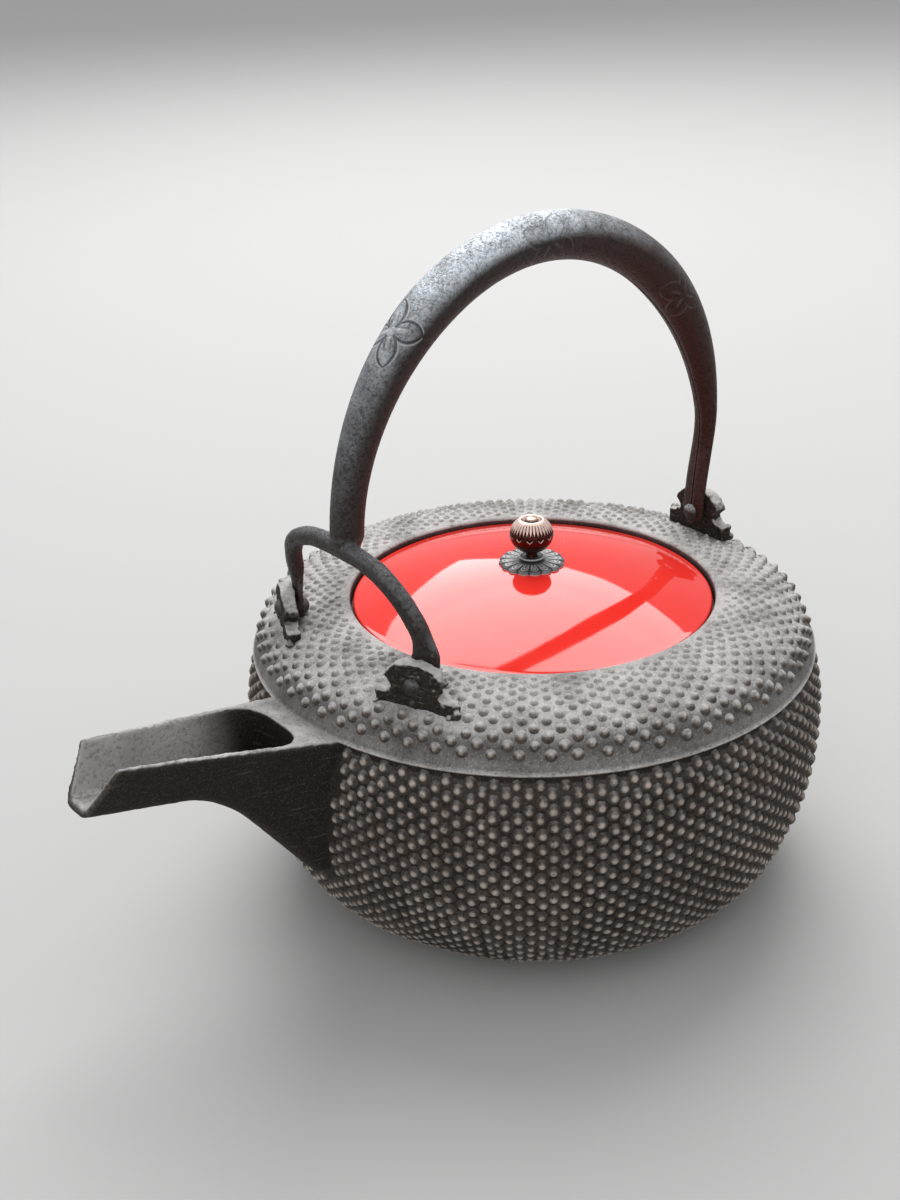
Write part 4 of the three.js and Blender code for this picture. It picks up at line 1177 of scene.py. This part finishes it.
def face_outwards(piece):
    """Flips the faces if they enclose a negative volume."""
    mesh = piece.data
    mesh.calc_loop_triangles()
    spots = np.array([vertex.co for vertex in mesh.vertices])
    a, b, c = (spots[[triangle.vertices[k] for triangle in mesh.loop_triangles]] for k in range(3))
    if np.sum(a * np.cross(b, c)) < 0:
        mesh.flip_normals()
    return piece


def leg_line(ear, facing):
    """A quarter of a superellipse whose foot comes in behind the plate and follows its slant."""
    rise, top_x = FORK_TOP - ear.z, BOW_FRONT_X - 1.5 - (LEG - EAR_THICKNESS) / 2
    out_part, up_part = superellipse(40, 3.1).T[::-1]
    line = []
    for y, z in zip((abs(ear.y) + SPREAD) * out_part, ear.z + rise * up_part):
        y -= SPREAD * max(1 - (z - ear.z) / OVER_PLATE, 0)
        down = min((FORK_TOP - z) / (rise - OVER_PLATE), 1)
        foot_x = ear.x + (y - abs(ear.y)) * math.tan(math.pi - facing)
        line.append([top_x + (foot_x - top_x) * down, math.copysign(y, ear.y), z])
    return np.array(line)


def leg_rings(name):
    ear, facing = ear_centre(name), abs(LUGS[name][1])
    line = leg_line(ear, facing)
    parts = np.concatenate([[0], np.cumsum(np.linalg.norm(np.diff(line, axis=0), axis=1))])
    rings = []
    for centre, run, part in zip(line, np.gradient(line, axis=0), parts / parts[-1]):
        run = run / np.linalg.norm(run)
        turn = math.pi + (facing - math.pi) * part
        out = np.array([math.cos(turn), math.copysign(1, ear.y) * math.sin(turn), 0])
        across = np.cross(out, run)
        across /= np.linalg.norm(across)
        deep = np.cross(run, across)
        flare = smoothstep(part, *FLARE)
        foot = LEG_FOOT + (FRONT_EAR - LEG_FOOT) * smoothstep(part, EAR_FROM, 1)
        half_wide = LEG / 2 + (foot - LEG / 2) * flare
        half_deep = HALF_DEEP + (EAR_THICKNESS / 2 - HALF_DEEP) * flare
        middle = centre - out * (half_deep - EAR_THICKNESS / 2)
        ring = []
        for angle in np.linspace(0, TURN, 28, endpoint=False):
            c, s = math.cos(angle), math.sin(angle)
            boxy = (abs(c) ** BOXY + abs(s) ** BOXY) ** (-1 / BOXY)
            ring.append(middle + across * half_wide * boxy * c + deep * half_deep * boxy * s)
        rings.append(ring)
    return rings


legs = [face_outwards(skin_rings(f"leg_{name}", leg_rings(name))) for name in ("front_left", "front_right")]
print("triangles of the legs:", [triangles(leg) for leg in legs])

# %% [markdown]
# The legs get a round ear each, and a crown with a tenon that goes up into the tube. The remesh
# makes one skin of them all, and the smoothing rounds every join as hammering does.


# %% Front fork
def ear_disc(name):
    half = EAR_THICKNESS / 2
    ear = revolve(name, [(0, -half), (FRONT_EAR, -half), (FRONT_EAR, half), (0, half)], 48)
    ear.data.transform(lug_matrix(name) @ Matrix.Translation((0, 0, -EAR_DEPTH * MM)))
    return ear


def upright(name, profile, segments, x):
    made = revolve(name, profile, segments)
    made.data.transform(Matrix.Translation((x * MM, 0, 0)))
    return made


crown = upright("crown", [
    (0, FORK_TOP - 2.5), (2.5, FORK_TOP - 2.5), (3.3, FORK_TOP - 0.2),
    (4.3, BOW_FOOT - 0.9), (4.45, BOW_FOOT + 0.1), (0, BOW_FOOT + 0.1)], 40, BOW_FRONT_X)
tenon = upright("tenon", [(0, BOW_FOOT - 2), (2.6, BOW_FOOT - 2), (2.6, BOW_FOOT + 7), (0, BOW_FOOT + 7)],
                32, BOW_FRONT_X + 0.4)
ears = [ear_disc(name) for name in ("front_left", "front_right")]
bail_fork = fuse(join("bail_fork", crown, tenon, *legs, *ears), 0.33, 5)
roughen(bail_fork, (0.14, 5, 12), (0.05, 1.5, 13))
dress(bail_fork, fork_iron, 60)
print("fork triangles:", triangles(bail_fork))

# %% [markdown]
# Three rivets hold the bail. They are one small turned shape, set at the three stations by an
# instancing tree, each with its own turn, because a smith's rivets are alike but never the same.

# %% Rivets
HEAD_RADIUS, HEAD_RISE, SHANK = 2.4, 1.6, 1.5


def rivet_profile():
    """A dome on the plate's outer face, a shank, and a dome on the ear's inner face."""
    low, high = -(LUG_THICKNESS + EAR_THICKNESS + GAP), 0.05
    arc = [(HEAD_RADIUS * math.cos(t), HEAD_RISE * math.sin(t)) for t in np.linspace(0, math.pi / 2, 9)]
    arc[-1] = (0, HEAD_RISE)
    return [*[(r, low - h) for r, h in reversed(arc)], (SHANK, low), (SHANK, high),
            *[(r, h + high) for r, h in arc]]


def set_rivets(stations, **sizes):
    tree = Shaping("rivets", {
        "Rivet": "NodeSocketObject", "Seed": "NodeSocketInt", "Finish": "NodeSocketMaterial"})
    stand = tree.stand(tree.stored("facing", "FLOAT_VECTOR"), tree.chance(0.0, TURN, tree.given["Seed"]))
    set_out = tree.add("GeometryNodeInstanceOnPoints", {
        "Points": tree.given["Geometry"], "Instance": tree.shape("Rivet"), "Rotation": stand}).outputs[0]
    return tree.run(set_out, stations, **sizes)


rivet_shape = revolve("rivet_shape", rivet_profile(), 28)
roughen(rivet_shape, (0.1, 1.6, 14))
rivet_shape.data.shade_smooth()
rivets = make_object("rivets", [lug_matrix(name).translation for name in LUGS])
store(rivets, "facing", np.ravel([lug_matrix(name).col[2].xyz for name in LUGS]), "FLOAT_VECTOR", "vector")
set_rivets(rivets, rivet=rivet_shape, seed=5, finish=rivet_iron)
discard(rivet_shape)
soften(rivets, 40)
print("rivet triangles:", triangles(rivets))

# %% [markdown]
# The lid is turned wood under many coats of vermilion lacquer: a shallow dome, a rounded edge, and
# a collar underneath that drops into the mouth. Lacquer settles a little unevenly, and that slight
# waviness is what bends the reflections of the window and of the bail.

# %% Lid
LID_RADIUS, LID_UNDER, LID_SHOULDER, LID_RISE, LID_THICK = 51.3, 80.3, 83.7, 9.6, 3.4
LID_FLAT, LID_ROUND, SHANK_HOLE = 50.4, 0.9, 1.6
LID_COLLAR, COLLAR_WALL, COLLAR_DEPTH, CHAMFER = 45.8, 2.4, 4.0, 0.4


def dome(radius):
    ball = (LID_FLAT ** 2 + LID_RISE ** 2) / (2 * LID_RISE)
    return LID_SHOULDER + LID_RISE - ball + np.sqrt(ball ** 2 - np.asarray(radius) ** 2)


def revolve_closed(name, profile, segments):
    """Revolves a profile that ends where it starts, and welds it there."""
    piece = revolve(name, [*profile, profile[0]], segments)
    piece.modifiers.new("weld", "WELD").merge_threshold = 0.002 * MM
    return settle(piece)


over = np.linspace(SHANK_HOLE, LID_FLAT, 44)
under = np.linspace(LID_COLLAR - COLLAR_WALL, SHANK_HOLE, 24)
edge = np.linspace(math.pi / 2, 0, 8)[1:]
collar_low = LID_UNDER - COLLAR_DEPTH
lid_profile = [
    *zip(over, dome(over)),
    *[(LID_FLAT + LID_ROUND * math.cos(t), LID_SHOULDER - LID_ROUND * (1 - math.sin(t))) for t in edge],
    (LID_RADIUS, LID_UNDER + 0.5), (LID_RADIUS - 0.5, LID_UNDER), (LID_COLLAR, LID_UNDER),
    (LID_COLLAR, collar_low + CHAMFER), (LID_COLLAR - CHAMFER, collar_low),
    (LID_COLLAR - COLLAR_WALL, collar_low), *zip(under, dome(under) - LID_THICK)]
lid_disc_lacquer = revolve_closed("lid_lacquer", lid_profile[::-1], 180)
roughen(lid_disc_lacquer, (0.16, 30, 15), (0.02, 9, 16))
print("lid triangles:", triangles(lid_disc_lacquer))

# %% [markdown]
# Lacquer is a smooth clear film over its own colour, so its roughness is very low and its red is
# deep. A few specks of dust, each in its own cell of a Voronoi pattern, keep it from looking like
# plastic: only one cell in about thirty-five has one.

# %% Lacquer
DEEP_RED, BRIGHT_RED, SPECK_GREY = (0.8, 0.022, 0.016), (0.9, 0.034, 0.022), (0.55, 0.45, 0.42)


def lacquer(name):
    material, paint, shader = finish_material(name, IOR=1.5)
    place = paint.place()
    tone = paint.noise(place, 22.0, 2.0)
    film = paint.group(DUST_AND_SHEEN, {"Amount": 0.02, "Blotches": 90.0})["Dust"]
    specks = paint.add("ShaderNodeTexVoronoi", {"Vector": place, "Scale": 420.0}).outputs
    pick = paint.add("ShaderNodeTexWhiteNoise", {"Vector": specks["Position"]}).outputs[0]
    speck = paint.times(paint.spread(specks["Distance"], 0.12, 0.06),
                        paint.maths("GREATER_THAN", pick, 0.972))
    colour = paint.mix(tone, DEEP_RED, BRIGHT_RED)
    colour = paint.mix(paint.maths("MAXIMUM", film, speck), colour, SPECK_GREY)
    roughness = paint.scaled(speck, 0.5, paint.spread(tone, 0.3, 0.7, 0.04, 0.07))
    paint.wire(shader, Base_Color=colour, Roughness=roughness)
    return material


red_lacquer = lacquer("vermilion lacquer")
dress(lid_disc_lacquer, red_lacquer, 35)
print("lid finish:", red_lacquer.name)

# %% [markdown]
# The knob is a ball on a thin stem: narrow petals over its upper half, a row of V-shaped marks
# round its widest part, and a button in a small dish on top. Every corner is placed by its angle
# and its height, and says in a groove value whether it is rubbed bright (0), patinated (about a
# half) or a dark recess (1).

# %% Chrysanthemum knob
LID_CROWN = LID_SHOULDER + LID_RISE
COLLAR_LOW = LID_CROWN + GAP + 0.9 + GAP
KNOB_LOW, KNOB_WIDE, KNOB_TALL = LID_CROWN + 3.2, 12.4, 10.8
PETALS, MARKS, TOP_RADIUS, STEM_TOP = 34, 12, 3.3, 1.75
# The button and its dish: radius, height from the edge of the dish, and groove value.
BUTTON = ((3.1, -0.02, 0.3), (2.7, -0.35, 0.4), (2.25, -0.5, 0.45), (1.95, -0.45, 0.52),
          (1.85, -0.2, 0.42), (1.6, 0.12, 0.32), (1.1, 0.34, 0.28), (0.5, 0.42, 0.35))


def level_ring(radius, height, angles):
    """A ring of corners, whose radius and height may differ from angle to angle."""
    return np.stack(np.broadcast_arrays(radius * np.cos(angles), radius * np.sin(angles), height), 1)


def from_middle(angles, count):
    """0 in the middle of each of a number of equal shares of the turn, and 1 between two of them."""
    return np.abs(2 * (angles * count / TURN % 1) - 1)


def skin_to_poles(name, rings, grooves):
    """Skins rings of equal count, closes each end with a pole, and stores the groove values."""
    count, last = len(rings[0]), len(rings) * len(rings[0])
    corners = np.concatenate([*rings, [rings[0].mean(0)], [rings[-1].mean(0)]]) * MM
    faces = bands(len(rings), count) + [(last, (k + 1) % count, k) for k in range(count)]
    faces += [(last - count + k, last - count + (k + 1) % count, last + 1) for k in range(count)]
    made = make_object(name, corners, faces)
    store(made, "groove", np.concatenate([*grooves, [0.0, 0.0]]))
    return face_outwards(made)


def chrysanthemum():
    wide, tall, middle = KNOB_WIDE / 2, KNOB_TALL / 2, KNOB_LOW + KNOB_TALL / 2
    angles = np.linspace(0, TURN, 12 * PETALS, endpoint=False)
    across, beside_mark = from_middle(angles, PETALS), from_middle(angles, MARKS)
    top_at = math.acos(TOP_RADIUS / wide)
    rings, grooves = [], []
    for radius, height in ((STEM_TOP, COLLAR_LOW + 0.35), (1.6, COLLAR_LOW + 0.7), (1.6, KNOB_LOW + 0.15)):
        rings.append(level_ring(radius, height, angles))
        grooves.append(np.full(len(angles), 0.8))
    for t in np.linspace(-math.acos(STEM_TOP / wide), top_at, 72):
        width = 0.15 + 0.75 * smoothstep(t, 0.2, 0.6)
        petal = smoothstep(t, 0.2, 0.26) * (1 - smoothstep(across, width - 0.25, width + 0.05))
        button = smoothstep(t, 0.75, 0.95)
        field = smoothstep(t, 0.16, 0.24) * (1 - button)
        mark = np.exp(-((t + 0.02 - beside_mark * 0.3) / 0.045) ** 2) * (beside_mark < 0.5)
        # A painted highlight just below each mark.
        glint = np.exp(-((t + 0.1 - beside_mark * 0.3) / 0.03) ** 2) * (beside_mark < 0.5)
        cut = 0.3 * field * (1 - petal) + 0.4 * mark
        rings.append(level_ring((wide - cut) * math.cos(t), middle + (tall - cut) * math.sin(t), angles))
        bare = np.maximum(petal, button)
        grooves.append(np.clip(0.56 + field * 0.2 * (1 - petal) - 0.6 * bare + mark - 0.5 * glint, 0, 1))
    top = middle + tall * math.sin(top_at)
    for radius, rise, groove in BUTTON:
        rings.append(level_ring(radius, top + rise, angles))
        grooves.append(np.full(len(angles), groove))
    return skin_to_poles("knob_flower", rings, grooves)


knob_flower = chrysanthemum()
print("knob triangles:", triangles(knob_flower))

# %% [markdown]
# Under the knob lie a flower-shaped washer and a small dish. The washer's petals follow the dome
# of the lid, and each is engraved with two U-shaped lines, one inside the other. The dish is
# turned, and its rim is rubbed brighter than the rest.

# %% Washer and dish
WASHER_LOW, WASHER_THICK, WASHER_REACH, WASHER_HOLE = LID_CROWN + 0.05, 0.9, 9.4, 1.7
WASHER_PETALS, CORNERS_ROUND = 16, 480
U_LINES = ((0.66, 0.88), (0.3, 0.76))  # half width and outer end of each line, as shares of a petal


def washer():
    angles = np.linspace(0, TURN, CORNERS_ROUND, endpoint=False)
    across = from_middle(angles, WASHER_PETALS)
    reach = WASHER_REACH - 0.9 * (1 - np.sqrt(np.clip(1 - across ** 2, 0, 1))) ** 0.8
    seat = dome(reach) - LID_CROWN + WASHER_LOW + 0.02
    rings = [level_ring(WASHER_HOLE, WASHER_LOW, angles), level_ring(reach, seat, angles)]
    grooves = [np.zeros(CORNERS_ROUND), np.zeros(CORNERS_ROUND)]
    for part in np.concatenate([np.linspace(0.2, 0.9, 44), np.linspace(0.915, 1, 8)])[::-1]:
        notch = np.exp(-((across - 1) / 0.1) ** 2) * smoothstep(part, 0.5, 0.6)
        lines = np.zeros(CORNERS_ROUND)
        for width, end in U_LINES:
            past = max(part - end + 0.12, 0) / 0.12
            off = np.abs(np.sqrt((across / width) ** 2 + past ** 2) - 1) * width
            lines = np.maximum(lines, np.exp(-(off / 0.1) ** 2) * smoothstep(part, 0.44, 0.5))
        soft = np.sqrt(np.clip(1 - ((part - 0.9) / 0.1) ** 2, 0, 1)) if part > 0.9 else 1.0
        height = dome(reach * part) - LID_CROWN + WASHER_LOW + WASHER_THICK * (0.35 + 0.65 * soft)
        rings.append(level_ring(reach * part, height - 0.22 * notch + 0.1 * lines, angles))
        rim = smoothstep(part, 0.93, 0.97)
        # The engraved lines are painted brighter than the petals, as painted highlights.
        grooves.append(np.clip(0.52 - 0.5 * lines + 0.35 * notch - 0.1 * rim, 0, 1))
    return skin_to_poles("petal_washer", rings, grooves)


knob_dish = revolve_closed("knob_dish", [(radius, COLLAR_LOW + rise) for radius, rise in (
    (1.5, 0.45), (1.5, 0), (3.4, 0), (3.72, 0.2), (3.78, 0.45), (3.6, 0.62), (3.3, 0.55), (3.1, 0.42))], 96)
face_outwards(knob_dish)
store(knob_dish, "groove", [0.15 if corner.co.xy.length > 3.2 * MM else 0.55
                            for corner in knob_dish.data.vertices])
petal_washer = washer()
print("washer and dish triangles:", triangles(petal_washer), triangles(knob_dish))

# %% [markdown]
# All three are patinated bronze: dark in the grooves and rubbed bright on whatever a finger
# touches. One finish reads the groove values and mixes in some clouds, so that the patina starts
# unevenly. Its last two numbers are the roughness of rubbed metal and of patina: the knob's patina
# is glossy, and the washer is dull all over.


# %% Bronze
def bronze(name, dark, rubbed, metallic, roughness_range):
    """Bright where the groove value is 0, patinated at a half, and black in the deepest lines."""
    material, paint, shader = finish_material(name, Metallic=metallic)
    deep = paint.stored("groove")
    clouds = paint.noise(paint.place(), 500.0, 4.0, 0.6)
    patina = paint.scaled(clouds, 0.3, paint.minus(deep, 0.15))
    colour = paint.mix(paint.spread(patina, 0.1, 0.55), rubbed, dark)
    colour = paint.mix(paint.spread(patina, 0.68, 0.95), colour, tuple(value * 0.15 for value in dark))
    roughness = paint.scaled(clouds, 0.2, paint.spread(deep, 0.1, 0.5, *roughness_range))
    roughness = paint.scaled(paint.spread(deep, 0.7, 0.95), 0.3, roughness)
    height = paint.group(GRAIN, {"Size": 1400.0, "Pits": 0.3})["Height"]
    paint.wire(shader, Base_Color=colour, Roughness=roughness, Normal=paint.bump(height, 0.2, 0.15))
    return material


# The knob's dark patina is tinted red, partly as a painted reflection of the red lid.
dark_bronze = bronze("dark bronze", (0.06, 0.014, 0.008), (0.85, 0.64, 0.56), 0.85, (0.38, 0.12))
grey_bronze = bronze("grey bronze", (0.06, 0.063, 0.068), (0.5, 0.49, 0.48), 0.25, (0.4, 0.45))
for piece, metal in ((knob_flower, dark_bronze), (knob_dish, grey_bronze), (petal_washer, grey_bronze)):
    dress(piece, metal, 50)
print("bronze finishes:", dark_bronze.name, "and", grey_bronze.name)

# %% [markdown]
# Two CAD solids stay as they are, because the lid hides them: the split shank under the knob and
# the washer behind the lid. They only need their finishes.

# %% Carried-over pieces
for name, metal in (("knob_shank", dark_bronze), ("back_washer", grey_bronze)):
    carried = bpy.data.objects[name]
    carried.data.materials.clear()
    carried.data.materials.append(metal)
    print("kept from the CAD model:", name)

# %% [markdown]
# The light. The gloss of the lid shows what stood around the kettle: one large soft window behind
# it, which fills most of the lid, and in front of it the bail, whose own reflection is the dark
# band across the red. A wide soft lamp overhead lights the shoulder, a low one on the camera's
# side keeps the near wall readable, and a pale sky does the rest.

# %% Light and floor
AIM = Vector((0, 0, 0.08))
world = bpy.data.worlds.new("studio")
bpy.context.scene.world = world
world.use_nodes = True
world.node_tree.nodes["Background"].inputs["Color"].default_value = (0.85, 0.86, 0.88, 1)
world.node_tree.nodes["Background"].inputs["Strength"].default_value = 0.6


def softbox(name, middle, side, top, width, height, power):
    """A soft rectangle of light whose two sides run along the given directions."""
    light = bpy.data.lights.new(name, "AREA")
    light.shape, light.size, light.size_y, light.energy = "RECTANGLE", width, height, power
    lamp = bpy.data.objects.new(name, light)
    side, top = Vector(side).normalized(), Vector(top).normalized()
    turn = Matrix((side, top, side.cross(top))).transposed().to_4x4()
    lamp.matrix_world = Matrix.Translation(Vector(middle)) @ turn
    bpy.context.scene.collection.objects.link(lamp)
    print(name, "of", power, "W at", [round(value, 2) for value in middle])


window_facing = Vector((0.394, 0.63, 0.669))
window_level = Vector((0.848, -0.53, 0))
window_steep = Vector((-0.355, -0.567, 0.743))
window_side = window_level * 0.8 + window_steep * 0.6
window_top = window_steep * 0.8 - window_level * 0.6
window_middle = AIM + 1.5 * (window_facing + window_side * 0.17 + window_top * 0.07)
softbox("window", window_middle, window_side, -window_top, width=1.38, height=1.2, power=25)
softbox("sky light", (0.2, 0.6, 2.8), (1, 0, 0), (0, 1, 0), width=4.5, height=4.5, power=32)
softbox("front fill", (-1.6, -1.3, 0.8), (0.63, -0.777, 0), (0.26, 0.21, 0.943), width=1.8, height=1.2,
        power=13)

floor = make_object("floor", [(-3, -3, 0), (3, -3, 0), (3, 3, 0), (-3, 3, 0)], [(0, 1, 2, 3)])
pale, _, _ = finish_material("pale floor", Base_Color=(0.46, 0.455, 0.45, 1), Roughness=0.8)
floor.data.materials.append(pale)

# %% [markdown]
# Each piece says which body of the model it rides on, which material of the record it is made of,
# and which CAD solid it stands in for.

# %% Riding
dressed = [
    (kettle_shell, "kettle", "cast_iron_body", ("kettle_body",)),
    (spout_trough, "kettle", "cast_iron_body", ("kettle_body",)),
    (wall_hail, "kettle", "cast_iron_body", ("kettle_body",)),
    (shoulder_hail, "kettle", "cast_iron_body", ("kettle_body",)),
    (bail_tube, "kettle", "forged_iron", ("handle_tube",)),
    (bail_fork, "kettle", "forged_iron", ("front_fork",)),
    (rivets, "kettle", "forged_iron", ("front_left_rivet", "front_right_rivet", "rear_rivet")),
    (lid_disc_lacquer, "lid", "red_lacquer", ("lid_disc",)),
    (petal_washer, "lid", "grey_bronze", ("flower_washer",)),
    (knob_dish, "lid", "dark_bronze", ("knob_collar",)),
    (knob_flower, "lid", "dark_bronze", ("knob",)),
    *[(lug, "kettle", "cast_iron_body", (f"{name}_lug",)) for name, lug in zip(LUGS, lug_pieces)],
]
for piece, body, slot, nodes in dressed:
    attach(piece, body)
    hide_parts(*nodes)
print("pieces:", len(dressed), "triangles:", sum(triangles(row[0]) for row in dressed))
